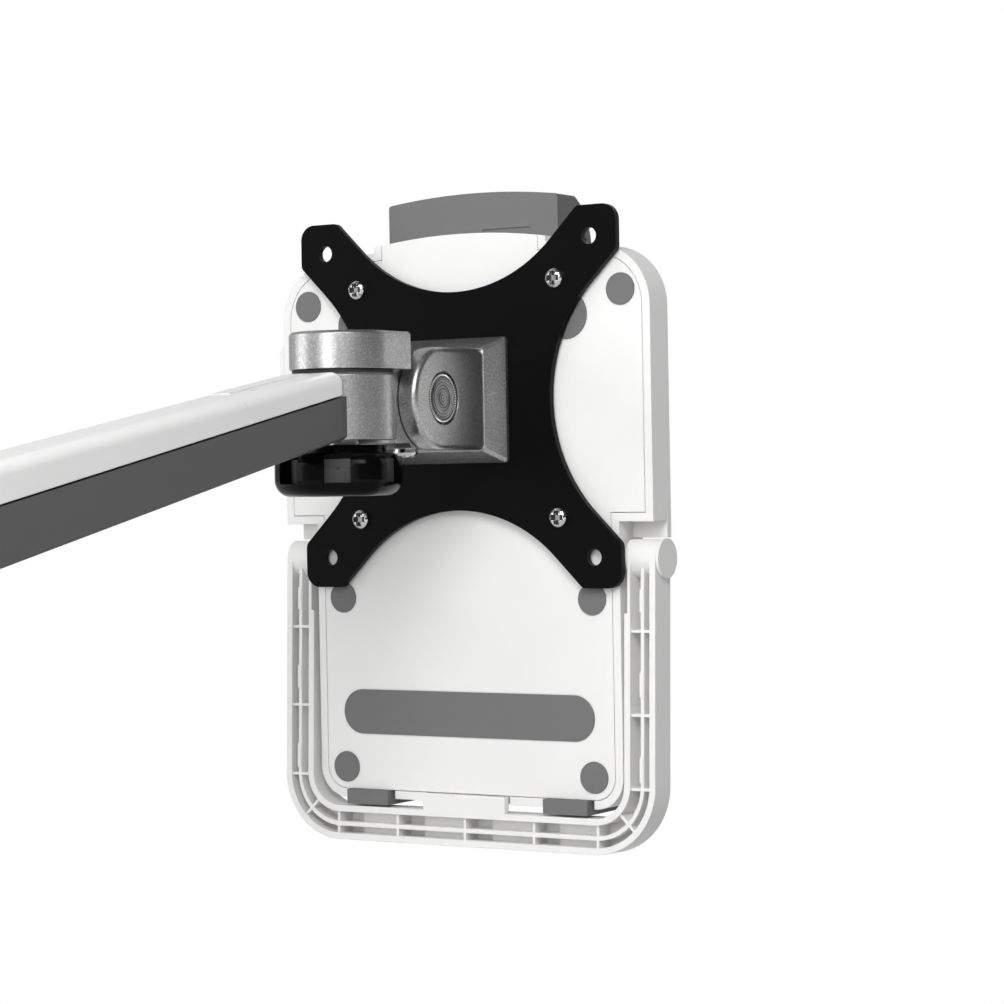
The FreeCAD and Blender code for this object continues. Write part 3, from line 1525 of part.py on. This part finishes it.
pieces = collect(
    build_plate(),
    build_plate_screws(),
    build_plate_pivot(),
    build_head_block(),
    build_tilt_parts(),
    build_yoke(),
    build_swivel_parts(),
    build_knob(),
    build_front_hub(),
    build_arm_casting(),
    build_arm_covers(),
    build_arm_strip(),
    build_front_shell(),
    build_back_cover(),
    build_rear_pads(),
    build_front_grips(),
    build_top_clamp(),
    build_clamp_rail(),
    build_lower_hooks(),
    build_release_button(),
    build_support_leg(),
    build_hinge_pins(),
)
doc.recompute()

for thing in doc.Objects:
    if "Invalid" in thing.State or "Error" in thing.State:
        raise RuntimeError(f"{thing.Name} failed: {thing.State}")

os.makedirs("parts", exist_ok=True)
for piece in pieces:
    shape = piece.Shape
    if shape.isNull() or not shape.isValid():
        raise RuntimeError(f"{piece.Label} has no valid shape")
    shape.exportStep(f"parts/{piece.Label}.step")
    box = shape.BoundBox
    print(f"{piece.Label}: {len(shape.Solids)} solid, {shape.Volume / 1000:.2f} cm3, "
          f"X {box.XMin:.1f} {box.XMax:.1f} Y {box.YMin:.1f} {box.YMax:.1f} Z {box.ZMin:.1f} {box.ZMax:.1f}")
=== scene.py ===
"""The dressed model of the tablet holder on its arm: finishes, small parts, light and camera."""
import json
import math

import bpy
from mathutils import Matrix, Vector


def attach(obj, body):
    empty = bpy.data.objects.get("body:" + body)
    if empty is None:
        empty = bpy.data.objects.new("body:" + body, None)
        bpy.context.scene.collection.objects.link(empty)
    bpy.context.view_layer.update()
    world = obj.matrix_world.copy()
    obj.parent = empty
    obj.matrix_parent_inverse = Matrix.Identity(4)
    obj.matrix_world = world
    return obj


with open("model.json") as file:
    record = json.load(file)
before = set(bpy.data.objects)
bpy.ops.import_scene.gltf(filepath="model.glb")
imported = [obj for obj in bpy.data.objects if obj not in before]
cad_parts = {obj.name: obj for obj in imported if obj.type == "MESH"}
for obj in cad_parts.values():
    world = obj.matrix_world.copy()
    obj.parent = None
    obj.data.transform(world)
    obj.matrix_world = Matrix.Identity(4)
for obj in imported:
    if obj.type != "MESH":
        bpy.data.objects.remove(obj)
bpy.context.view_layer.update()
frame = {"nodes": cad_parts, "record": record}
nodes = frame["nodes"]
MM = 0.001

# Sockets of the mix node that carry colours.
COLOUR_ONE = 6
COLOUR_OTHER = 7
COLOUR_RESULT = 2

# Noise values between which broad changes of tone and gloss run.
BROAD_LOW = 0.3
BROAD_HIGH = 0.7

# How far the softened normal turns from the true one where an edge starts to wear and where the
# wear is full, as the cosine of the angle. Chips, so many a metre, break the wear up.
BEVEL_SAMPLES = 4
WEAR_START = 0.995
WEAR_FULL = 0.85
CHIPS = 260
CHIP_LOW = 0.38
CHIP_HIGH = 0.62
CHIP_LEAST = 0.25

# Flakes of the casting's paint: the chance value from which one is bright or dark, and how much
# of the tone the strongest takes over.
BRIGHT_FLAKE_FROM = 0.6
BRIGHT_FLAKE_MOST = 0.4
DARK_FLAKE_FROM = 0.65
DARK_FLAKE_MOST = 0.3

materials = {}


def linear(value):
    """The linear strength of a screen value from 0 to 255, by the standard screen curve."""
    share = value / 255
    return ((share + 0.055) / 1.055) ** 2.4


def grey(value, warmth=0.0):
    """A linear grey with a touch of warmth, as four numbers."""
    tone = linear(value)
    return (tone * (1 + warmth), tone, tone * (1 - warmth), 1.0)


class Shading:
    """The node tree of a material or of the world."""

    def __init__(self, owner):
        owner.use_nodes = True
        self.tree = owner.node_tree

    def add(self, kind, **settings):
        node = self.tree.nodes.new(kind)
        for key, value in settings.items():
            setattr(node, key, value)
        return node

    def put(self, socket, value):
        """Feeds a socket from another one, or with a constant."""
        if isinstance(value, bpy.types.NodeSocket):
            self.tree.links.new(value, socket)
        else:
            socket.default_value = value

    def spread(self, source, low, high, out_low=0.0, out_high=1.0, curve="LINEAR"):
        """The source's range low to high, moved to out_low to out_high."""
        node = self.add("ShaderNodeMapRange", interpolation_type=curve)
        self.put(node.inputs["Value"], source)
        for key, value in (("From Min", low), ("From Max", high),
                           ("To Min", out_low), ("To Max", out_high)):
            node.inputs[key].default_value = value
        return node.outputs["Result"]

    def combine(self, operation, one, other):
        """Two numbers made into one."""
        node = self.add("ShaderNodeMath", operation=operation)
        self.put(node.inputs[0], one)
        self.put(node.inputs[1], other)
        return node.outputs[0]

    def blend(self, share, one, other):
        """Two shaders made into one, with share as the part of the second."""
        node = self.add("ShaderNodeMixShader")
        self.put(node.inputs[0], share)
        self.put(node.inputs[1], one)
        self.put(node.inputs[2], other)
        return node.outputs[0]


class Finish(Shading):
    """A surface: base tone, broad unevenness, fine grain, softened and worn edges."""

    def __init__(self, name, tone, roughness, metallic=0.0):
        self.material = bpy.data.materials.new(name)
        super().__init__(self.material)
        self.shader = next(n for n in self.tree.nodes if n.type == "BSDF_PRINCIPLED")
        self.shader.inputs["Metallic"].default_value = metallic
        self.where = self.add("ShaderNodeTexCoord").outputs["Object"]
        self.tone = tone
        self.roughness = roughness
        self.colour = None
        self.rough = None
        self.normal = None

    def noise(self, scale, detail=3.0, stretch=None):
        """Noise between 0 and 1 over the surface, scale in grains a metre."""
        where = self.where
        if stretch:
            mapping = self.add("ShaderNodeMapping", vector_type="POINT")
            self.put(mapping.inputs["Vector"], where)
            mapping.inputs["Scale"].default_value = stretch
            where = mapping.outputs["Vector"]
        node = self.add("ShaderNodeTexNoise")
        self.put(node.inputs["Vector"], where)
        node.inputs["Scale"].default_value = scale
        node.inputs["Detail"].default_value = detail
        return node.outputs["Fac"]

    def mix(self, share, one, other):
        """Two colours made into one, with share as the part of the second."""
        node = self.add("ShaderNodeMix", data_type="RGBA")
        self.put(node.inputs["Factor"], share)
        self.put(node.inputs[COLOUR_ONE], one)
        self.put(node.inputs[COLOUR_OTHER], other)
        return node.outputs[COLOUR_RESULT]

    def uneven(self, scale, tone_change, rough_change):
        """Broad change of tone and gloss, as handling and moulding leave it."""
        broad = self.noise(scale, detail=4.0)
        dark = tuple(c * (1 - tone_change) for c in self.tone[:3]) + (1.0,)
        light = tuple(min(1.0, c * (1 + tone_change)) for c in self.tone[:3]) + (1.0,)
        self.colour = self.mix(self.spread(broad, BROAD_LOW, BROAD_HIGH), dark, light)
        self.rough = self.spread(broad, BROAD_LOW, BROAD_HIGH, self.roughness - rough_change,
                                 self.roughness + rough_change)

    def soften(self, radius, worn, wear, rough_change=0.0):
        """Rounds the light over sharp edges, and wears the tone along them."""
        bevel = self.add("ShaderNodeBevel", samples=BEVEL_SAMPLES)
        bevel.inputs["Radius"].default_value = radius
        self.normal = bevel.outputs["Normal"]
        facing = self.add("ShaderNodeVectorMath", operation="DOT_PRODUCT")
        self.put(facing.inputs[0], self.normal)
        self.put(facing.inputs[1], self.add("ShaderNodeNewGeometry").outputs["Normal"])
        edge = self.spread(facing.outputs["Value"], WEAR_START, WEAR_FULL)
        chips = self.spread(self.noise(CHIPS, detail=5.0), CHIP_LOW, CHIP_HIGH, CHIP_LEAST)
        share = self.combine("MULTIPLY", self.combine("MULTIPLY", edge, chips), wear)
        self.colour = self.mix(share, self.colour, worn)
        change = self.combine("MULTIPLY", share, rough_change)
        self.rough = self.combine("ADD", self.rough, change)

    def grain(self, scale, strength, depth, detail=3.0, stretch=None):
        """Fine relief, depth in metres."""
        bump = self.add("ShaderNodeBump")
        bump.inputs["Strength"].default_value = strength
        bump.inputs["Distance"].default_value = depth
        self.put(bump.inputs["Height"], self.noise(scale, detail, stretch))
        self.put(bump.inputs["Normal"], self.normal)
        self.normal = bump.outputs["Normal"]

    def done(self):
        """The finished material, with its colour, gloss and relief on the shader."""
        self.put(self.shader.inputs["Base Color"], self.colour)
        self.put(self.shader.inputs["Roughness"], self.rough)
        self.put(self.shader.inputs["Normal"], self.normal)
        return self.material


def plastic(name, tone, worn, roughness, grains, relief, wear, gloss=0.5, edge=0.35 * MM):
    """Moulded plastic, rubber or paint; gloss is the strength of its mirror part."""
    finish = Finish(name, tone, roughness)
    finish.shader.inputs["Specular IOR Level"].default_value = gloss
    finish.uneven(scale=38, tone_change=0.018, rough_change=0.03)
    finish.soften(edge, worn, wear)
    finish.grain(grains, relief, depth=0.05 * MM)
    materials[name] = finish.done()


def metal(name, tone, worn, roughness, relief=0.12, stretch=None):
    """Bare metal; stretch draws its grain out, as turning or brushing does."""
    finish = Finish(name, tone, roughness, metallic=1.0)
    finish.uneven(scale=60, tone_change=0.03, rough_change=0.04)
    finish.soften(0.25 * MM, worn, wear=0.5, rough_change=-0.08)
    finish.grain(2400, relief, depth=0.03 * MM, detail=4.0, stretch=stretch)
    materials[name] = finish.done()


def casting(name, tone, worn, roughness, grains, relief, bright, dark):
    """Silver paint over a casting: a metal flake that sparkles, over a soft orange peel."""
    finish = Finish(name, tone, roughness, metallic=0.94)
    finish.uneven(scale=45, tone_change=0.02, rough_change=0.03)
    flake = finish.add("ShaderNodeTexVoronoi")
    finish.put(flake.inputs["Vector"], finish.where)
    flake.inputs["Scale"].default_value = grains
    facet = finish.add("ShaderNodeSeparateColor")
    finish.put(facet.inputs["Color"], flake.outputs["Color"])
    bright_share = finish.spread(facet.outputs["Red"], BRIGHT_FLAKE_FROM, 1.0,
                                 out_high=BRIGHT_FLAKE_MOST)
    finish.colour = finish.mix(bright_share, finish.colour, bright)
    dark_share = finish.spread(facet.outputs["Green"], DARK_FLAKE_FROM, 1.0,
                               out_high=DARK_FLAKE_MOST)
    finish.colour = finish.mix(dark_share, finish.colour, dark)
    finish.soften(0.3 * MM, worn, wear=0.25)
    finish.grain(grains, relief, depth=0.05 * MM)
    materials[name] = finish.done()


plastic("white_plastic", grey(236, 0.006), grey(246), roughness=0.42, grains=2600, relief=0.10,
        wear=0.3)
plastic("grey_rubber", grey(114), grey(142), roughness=0.72, grains=3400, relief=0.45, wear=0.3,
        gloss=0.3)
plastic("grey_plastic", grey(93), grey(150), roughness=0.5, grains=3800, relief=0.35, wear=0.4)
plastic("black_steel", grey(7), grey(70), roughness=0.34, grains=3000, relief=0.35, wear=0.35,
        gloss=0.08)
plastic("black_nylon", grey(24), grey(40), roughness=0.6, grains=3000, relief=0.2, wear=0.3)
plastic("black_plastic", grey(8), grey(60), roughness=0.16, grains=900, relief=0.03, wear=0.25,
        gloss=0.08, edge=0.03 * MM)
plastic("matt_black", grey(56), grey(92), roughness=0.6, grains=3600, relief=0.6, wear=0.5)
plastic("arm_white", grey(232, 0.004), grey(246), roughness=0.3, grains=1500, relief=0.06,
        wear=0.2)
plastic("arm_grey", grey(81), grey(120), roughness=0.46, grains=3200, relief=0.25, wear=0.3)
metal("chrome", grey(214), grey(235), roughness=0.14, relief=0.05)
metal("steel", grey(170), grey(215), roughness=0.32, stretch=(0.15, 1, 1))
metal("cut_steel", grey(238), grey(245), roughness=0.5, relief=0.1)
metal("turned_steel", grey(176), grey(220), roughness=0.3, stretch=(0.2, 1, 1))
casting("silver_casting", grey(184), grey(225), roughness=0.34, grains=2600, relief=0.4,
        bright=grey(255), dark=grey(110))

slot_of = {part["node"]: part["material_slot"] for part in frame["record"]["subparts"]}
for name, thing in nodes.items():
    for slot in thing.material_slots:
        slot.material = materials[slot_of[name]]


def new_object(name, data):
    """An object of the scene that shows a mesh, a lamp or a camera."""
    thing = bpy.data.objects.new(name, data)
    bpy.context.scene.collection.objects.link(thing)
    return thing


def piece(name, vertices, faces, material, body, smooth=False):
    """A mesh that rides on a body of the frame."""
    mesh = bpy.data.meshes.new(name)
    mesh.from_pydata([tuple(v) for v in vertices], [], faces)
    mesh.update()
    if smooth:
        for face in mesh.polygons:
            face.use_smooth = True
    mesh.materials.append(materials[material])
    thing = new_object(name, mesh)
    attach(thing, body)


def around(place, radius, angle, height):
    """A point on a circle, where place turns across, up and height into the room."""
    return place(radius * math.cos(angle), radius * math.sin(angle), height)


def turned(profile, steps, place):
    """A turned shape: profile holds (radius, height), and place is as in around."""
    vertices = []
    faces = []
    for step in range(steps):
        for radius, height in profile:
            vertices.append(around(place, radius, 2 * math.pi * step / steps, height))
    count = len(profile)
    for step in range(steps):
        here = step * count
        there = ((step + 1) % steps) * count
        for row in range(count - 1):
            faces.append((here + row, there + row, there + row + 1, here + row + 1))
    return vertices, faces


# The small parts below are ones that the solids leave out, with a few dark sheets of painted
# shade among them. Places and axes are the solids' own, in metres, and a height on a face is
# measured outwards from it.
TILT_AXIS = Vector((0.0, 0.2333, 0.038))
PLUG_RADIUS = 7.8 * MM
PLUG_FACE = 15.5 * MM
PLUG_STEPS = 72

RING_COUNT = 9
RING_PITCH = (PLUG_RADIUS - 1.05 * MM) / RING_COUNT
RING_CREST = 0.10 * MM
RING_CREST_SHARE = 0.45
RING_FOOT = 0.02 * MM
RING_FOOT_SHARE = 0.9
RING_CENTRE = (0.05 * MM, 0.06 * MM)

# The radius at which each dark circle starts, and its width, in millimetres.
DARK_CIRCLE_RADII = (0.05, 1.0, 1.9, 2.9, 3.8, 4.8, 5.7, 6.3)
DARK_CIRCLE_WIDTH = 0.2
DARK_CIRCLE_HEIGHT = 0.12 * MM

# A black ring of painted shade lies over the gap round each plug, from a little inside its rim to
# a little outside.
SHADE_RING_INSIDE = PLUG_RADIUS - 1.1 * MM
SHADE_RING_OUTSIDE = PLUG_RADIUS + 0.1 * MM
SHADE_RING_HEIGHT = 0.05 * MM
SHADE_RING_REACH = -1.0 * MM

KNURL_COUNT = 60
KNURL_INSIDE = PLUG_RADIUS - 0.95 * MM
KNURL_OUTSIDE = PLUG_RADIUS - 0.3 * MM
KNURL_PEAK = PLUG_RADIUS - 0.62 * MM
KNURL_HALF = 0.24 * MM
KNURL_FOOT = 0.05 * MM
KNURL_HEIGHT = 0.4 * MM


def plug_rings(side, place):
    """The rings that turning leaves on the plug's face."""
    rings = [RING_CENTRE]
    for ring in range(RING_COUNT):
        start = ring * RING_PITCH
        rings.append((start + RING_PITCH * RING_CREST_SHARE, RING_CREST))
        rings.append((start + RING_PITCH * RING_FOOT_SHARE, RING_FOOT))
    vertices, faces = turned(rings, PLUG_STEPS, place)
    piece(f"plug_rings_{side}", vertices, faces, "turned_steel", "head")


def plug_dark_circles(side, place):
    """Thin dark circles between the rings."""
    vertices = []
    faces = []
    for radius in DARK_CIRCLE_RADII:
        mark = [(radius * MM, DARK_CIRCLE_HEIGHT),
                ((radius + DARK_CIRCLE_WIDTH) * MM, DARK_CIRCLE_HEIGHT)]
        spots, strips = turned(mark, PLUG_STEPS, place)
        start = len(vertices)
        vertices.extend(spots)
        for strip in strips:
            faces.append(tuple(start + corner for corner in strip))
    piece(f"plug_dark_circles_{side}", vertices, faces, "matt_black", "head")


def plug_shade_ring(side, place):
    """A black ring of painted shade over the gap round the plug, that the knurls stand in."""
    shade_outline = [(SHADE_RING_INSIDE, SHADE_RING_HEIGHT), (SHADE_RING_OUTSIDE, SHADE_RING_HEIGHT),
              (SHADE_RING_OUTSIDE, SHADE_RING_REACH)]
    vertices, faces = turned(shade_outline, PLUG_STEPS, place)
    piece(f"plug_shade_ring_{side}", vertices, faces, "black_nylon", "head")


def plug_knurls(side, place):
    """A circle of small bright pyramids."""
    vertices = []
    faces = []
    for knurl in range(KNURL_COUNT):
        middle = 2 * math.pi * knurl / KNURL_COUNT
        start = len(vertices)
        for radius in (KNURL_INSIDE, KNURL_OUTSIDE):
            for turn in (-1, 1):
                angle = middle + turn * KNURL_HALF / radius
                vertices.append(around(place, radius, angle, KNURL_FOOT))
        peak = len(vertices)
        vertices.append(around(place, KNURL_PEAK, middle, KNURL_HEIGHT))
        for one, two in ((0, 1), (1, 3), (3, 2), (2, 0)):
            faces.append((start + one, start + two, peak))
    piece(f"plug_knurls_{side}", vertices, faces, "cut_steel", "head")


def tilt_plug_faces():
    """The face of the plug in each ear of the head."""
    for side, sign in (("left", -1), ("right", 1)):
        def place(across, up, out):
            return TILT_AXIS + Vector((sign * (PLUG_FACE + out), across, up))

        for part in (plug_rings, plug_dark_circles, plug_shade_ring, plug_knurls):
            part(side, place)


# The knob's windows stand evenly round the hub. The angle of the first is in degrees.
HUB_AXIS = Vector((0.0, 0.202, 0.0))
WINDOW_COUNT = 6
WINDOW_START = -62.3
WINDOW_FLOOR = 15.4 * MM
WINDOW_HALF = 4.1 * MM
WINDOW_LOW = 12.5 * MM
WINDOW_HIGH = 19.6 * MM
PART_LINE = 16.6 * MM
FACE_FOOT = 0.02 * MM
FACE_LIFT = 0.08 * MM
FACE_SLOPE = 0.12 * MM
GATE_ABOVE_LINE = 0.5 * MM
GATE_PROFILE = [(0.05 * MM, 0.5 * MM), (0.45 * MM, 0.42 * MM), (0.6 * MM, 0.1 * MM)]
GATE_STEPS = 20


def knob_windows():
    """A matt face on the floor of each window, with a parting line and a gate mark."""
    rows = [(WINDOW_LOW, 0.0), (WINDOW_LOW + FACE_SLOPE, FACE_LIFT),
            (PART_LINE - FACE_SLOPE, FACE_LIFT), (PART_LINE, 0.0),
            (PART_LINE + FACE_SLOPE, FACE_LIFT), (WINDOW_HIGH - FACE_SLOPE, FACE_LIFT),
            (WINDOW_HIGH, 0.0)]
    columns = [(-WINDOW_HALF, 0.0), (-WINDOW_HALF + FACE_SLOPE, 1.0),
               (WINDOW_HALF - FACE_SLOPE, 1.0), (WINDOW_HALF, 0.0)]
    width = len(columns)
    faces = []
    for row in range(len(rows) - 1):
        for column in range(width - 1):
            first = row * width + column
            faces.append((first, first + 1, first + 1 + width, first + width))

    for turn in range(WINDOW_COUNT):
        angle = math.radians(WINDOW_START + 360 / WINDOW_COUNT * turn)
        out = Vector((math.cos(angle), math.sin(angle), 0.0))
        side = Vector((-out.y, out.x, 0.0))
        vertices = []
        for height, raised in rows:
            for across, share in columns:
                reach = WINDOW_FLOOR + FACE_FOOT + raised * share
                vertices.append(HUB_AXIS + out * reach + side * across + Vector((0, 0, height)))
        piece(f"knob_face_{turn + 1}", vertices, faces, "matt_black", "knob")

        def place(across, up, depth):
            middle = Vector((0, 0, PART_LINE + GATE_ABOVE_LINE + up))
            return HUB_AXIS + out * (WINDOW_FLOOR + depth) + side * across + middle

        spots, strips = turned(GATE_PROFILE, GATE_STEPS, place)
        piece(f"knob_gate_{turn + 1}", spots, strips, "matt_black", "knob", smooth=True)


# The leg is measured from its hinge and closed, then swung to its rest. The upper and lower end
# of each swell are in millimetres.
HINGE = Vector((0.0, 0.274, -0.0126))
LEG_REST = math.radians(2.05)
LEG_BACK = -9.0 * MM
RIB_MIDDLE = 64.95 * MM
RIB_BACK = 3.65 * MM
RIB_DEPTH = 5.0 * MM
RIB_SWELLS = ((-9.5, -16.8), (-35.3, -43.0), (-61.4, -69.4))
SWELL_LEFT = -0.95 * MM
SWELL_RIGHT = 0.3 * MM
SWELL_SLANT = 0.15 * MM


def leg_rib_swells():
    """Stretches where the leg's long rib is a little thicker on its left side."""
    swing = Matrix.Rotation(-LEG_REST, 3, "X")
    for side, sign in (("left", -1), ("right", 1)):
        for index, (top, bottom) in enumerate(RIB_SWELLS):
            low = bottom * MM
            high = top * MM
            outline = [(SWELL_LEFT, low + SWELL_SLANT), (SWELL_LEFT + SWELL_SLANT, low),
                       (SWELL_RIGHT - SWELL_SLANT, low), (SWELL_RIGHT, low + SWELL_SLANT),
                       (SWELL_RIGHT, high - SWELL_SLANT), (SWELL_RIGHT - SWELL_SLANT, high),
                       (SWELL_LEFT + SWELL_SLANT, high), (SWELL_LEFT, high - SWELL_SLANT)]
            vertices = []
            for depth in (RIB_BACK, RIB_BACK + RIB_DEPTH):
                for across, up in outline:
                    spot = swing @ Vector((0.0, depth + LEG_BACK, up))
                    spot.x = sign * RIB_MIDDLE + across
                    vertices.append(HINGE + spot)
            count = len(outline)
            faces = [tuple(range(count)), tuple(range(2 * count - 1, count - 1, -1))]
            for corner in range(count):
                after = (corner + 1) % count
                faces.append((corner, corner + count, after + count, after))
            piece(f"rib_swell_{side}_{index + 1}", vertices, faces, "white_plastic", "leg")


# The screws' middles and the level of their recess floor, in millimetres, and the corners of the
# painted shade on one arm of the recess, each as its reach from the middle and its place across
# the arm.
SCREW_PLACES = ((-37.5, 0.5), (37.5, 0.5), (-37.5, 75.5), (37.5, 75.5))
RECESS_FLOOR = 264.17
RECESS_ARM = ((0.8, -0.8), (2.18, -0.85), (2.18, 0.85), (0.8, 0.8))


def screw_recess_painted_shade():
    """Painted shade: dark sheets on the ends of the cross recess in each plate screw."""
    vertices = []
    faces = []
    for middle, height in SCREW_PLACES:
        for along, up in ((1, 0), (0, 1), (-1, 0), (0, -1)):
            start = len(vertices)
            for reach, half in RECESS_ARM:
                across = middle + along * reach - up * half
                level = height + up * reach + along * half
                vertices.append(Vector((across, RECESS_FLOOR, level)) * MM)
            faces.append((start, start + 1, start + 2, start + 3))
    # The sheets are painted shade in the recess, not a part of the screw.
    piece("screw_recess_painted_shade", vertices, faces, "black_nylon", "holder")


tilt_plug_faces()
knob_windows()
leg_rib_swells()
screw_recess_painted_shade()


# The studio is a white surround, a white floor and broad soft lamps. Glows are what mirrors see
# of the surround, and fills are its soft light. A range says where a glow starts and where it is
# full, as a part of the unit direction, or in metres for the floor's fade.
WHITE_GLOW = 1.0
FRONT_GLOW = 0.05
BACK_GLOW = 1.0
LEFT_GLOW = 0.5
RIGHT_FILL = 0.25
LEFT_FILL = 0.48
BACK_RANGE = (0.6, 0.95)
LEFT_RANGE = (0.1, -0.7)

FLOOR_DROP = -0.45
FLOOR_HALF = 6.0
FLOOR_PAPER = 0.82
FLOOR_FADE = (0.6, 1.6)

HOLDER = (0.0, 0.22, 0.0)
ARM_REAR = (0.02, 0.02, 0.0)

CAMERA_PLACE = (0.48179, -0.48840, 0.01200)
CAMERA_YAW = math.radians(31.69)
CAMERA_PITCH = math.radians(-0.415)
CAMERA_ROLL = math.radians(-1.028)
CAMERA_LENS = 100.12
CAMERA_SENSOR = 36.0
CAMERA_NEAR = 0.01
CAMERA_FAR = 60.0


def surround():
    """White behind the object for the camera; softer, and darker in front, for what it lights."""
    world = bpy.data.worlds.new("surround")
    bpy.context.scene.world = world
    shading = Shading(world)
    shading.tree.nodes.clear()

    def glow(strength):
        node = shading.add("ShaderNodeBackground")
        node.inputs["Color"].default_value = (1, 1, 1, 1)
        node.inputs["Strength"].default_value = strength
        return node.outputs[0]

    heading = shading.add("ShaderNodeTexCoord")
    apart = shading.add("ShaderNodeSeparateXYZ")
    shading.put(apart.inputs[0], heading.outputs["Generated"])
    behind = shading.spread(apart.outputs["Y"], *BACK_RANGE, curve="SMOOTHSTEP")
    beside = shading.spread(apart.outputs["X"], *LEFT_RANGE, curve="SMOOTHSTEP")
    mirrored = shading.blend(beside, glow(FRONT_GLOW), glow(LEFT_GLOW))
    mirrored = shading.blend(behind, mirrored, glow(BACK_GLOW))
    fill = shading.blend(beside, glow(RIGHT_FILL), glow(LEFT_FILL))
    path = shading.add("ShaderNodeLightPath")
    lit = shading.blend(path.outputs["Is Glossy Ray"], fill, mirrored)
    lit = shading.blend(path.outputs["Is Transmission Ray"], lit, glow(WHITE_GLOW))
    seen = shading.blend(path.outputs["Is Camera Ray"], lit, glow(WHITE_GLOW))
    output = shading.add("ShaderNodeOutputWorld")
    shading.put(output.inputs["Surface"], seen)


def floor():
    """White paper that takes the shadow and fades into the surround further out."""
    corners = [(-FLOOR_HALF, -FLOOR_HALF, FLOOR_DROP), (FLOOR_HALF, -FLOOR_HALF, FLOOR_DROP),
               (FLOOR_HALF, FLOOR_HALF, FLOOR_DROP), (-FLOOR_HALF, FLOOR_HALF, FLOOR_DROP)]
    mesh = bpy.data.meshes.new("floor")
    mesh.from_pydata(corners, [], [(0, 1, 2, 3)])
    thing = new_object("floor", mesh)
    material = bpy.data.materials.new("floor_paper")
    shading = Shading(material)
    shading.tree.nodes.clear()
    paper = shading.add("ShaderNodeBsdfDiffuse")
    paper.inputs["Color"].default_value = (FLOOR_PAPER, FLOOR_PAPER, FLOOR_PAPER, 1)
    glow = shading.add("ShaderNodeEmission")
    glow.inputs["Strength"].default_value = WHITE_GLOW
    place = shading.add("ShaderNodeTexCoord")
    reach = shading.add("ShaderNodeVectorMath", operation="LENGTH")
    shading.put(reach.inputs[0], place.outputs["Object"])
    fade = shading.spread(reach.outputs["Value"], *FLOOR_FADE)
    path = shading.add("ShaderNodeLightPath")
    sight = path.outputs["Is Camera Ray"]
    for kind in ("Is Glossy Ray", "Is Transmission Ray"):
        sight = shading.combine("MAXIMUM", sight, path.outputs[kind])
    share = shading.combine("MULTIPLY", fade, sight)
    output = shading.add("ShaderNodeOutputMaterial")
    shading.put(output.inputs["Surface"],
                shading.blend(share, paper.outputs[0], glow.outputs[0]))
    mesh.materials.append(material)


def lamp(name, aim, towards, distance, size, power):
    """A square soft lamp that shines at a point of the object."""
    data = bpy.data.lights.new(name, "AREA")
    data.shape = "SQUARE"
    data.size = size
    data.energy = power
    thing = new_object(name, data)
    line = Vector(towards).normalized()
    thing.location = Vector(aim) + line * distance
    thing.rotation_euler = line.to_track_quat("Z", "Y").to_euler()
    thing.visible_camera = False


def camera():
    """The photograph's viewpoint, worked out from the holes of the bolting plate."""
    yaw = CAMERA_YAW
    pitch = CAMERA_PITCH
    roll = CAMERA_ROLL
    forward = Vector((-math.sin(yaw) * math.cos(pitch), math.cos(yaw) * math.cos(pitch),
                      math.sin(pitch)))
    level = Vector((math.cos(yaw), math.sin(yaw), 0.0))
    upright = level.cross(forward)
    right = math.cos(roll) * level + math.sin(roll) * upright
    up = -math.sin(roll) * level + math.cos(roll) * upright
    data = bpy.data.cameras.new("camera")
    data.lens = CAMERA_LENS
    data.sensor_width = CAMERA_SENSOR
    data.clip_start = CAMERA_NEAR
    data.clip_end = CAMERA_FAR
    thing = new_object("camera", data)
    turn = Matrix((right, up, -forward)).transposed().to_4x4()
    thing.matrix_world = Matrix.Translation(CAMERA_PLACE) @ turn
    bpy.context.scene.camera = thing


camera()
surround()
floor()
lamp("key", HOLDER, (0.04, -0.97, 0.25), distance=1.9, size=0.85, power=8.6)
lamp("front", HOLDER, (0.1, -1.0, -0.15), distance=2.2, size=1.2, power=3)
lamp("left", HOLDER, (-0.95, -0.5, 0.2), distance=1.6, size=0.8, power=3.8)
lamp("near", HOLDER, (0.35, -0.67, 0.62), distance=0.97, size=0.5, power=2.3)
lamp("arm", ARM_REAR, (0.28, -0.22, 0.36), distance=0.45, size=0.3, power=1.5)
bpy.context.scene.view_settings.view_transform = "Standard"
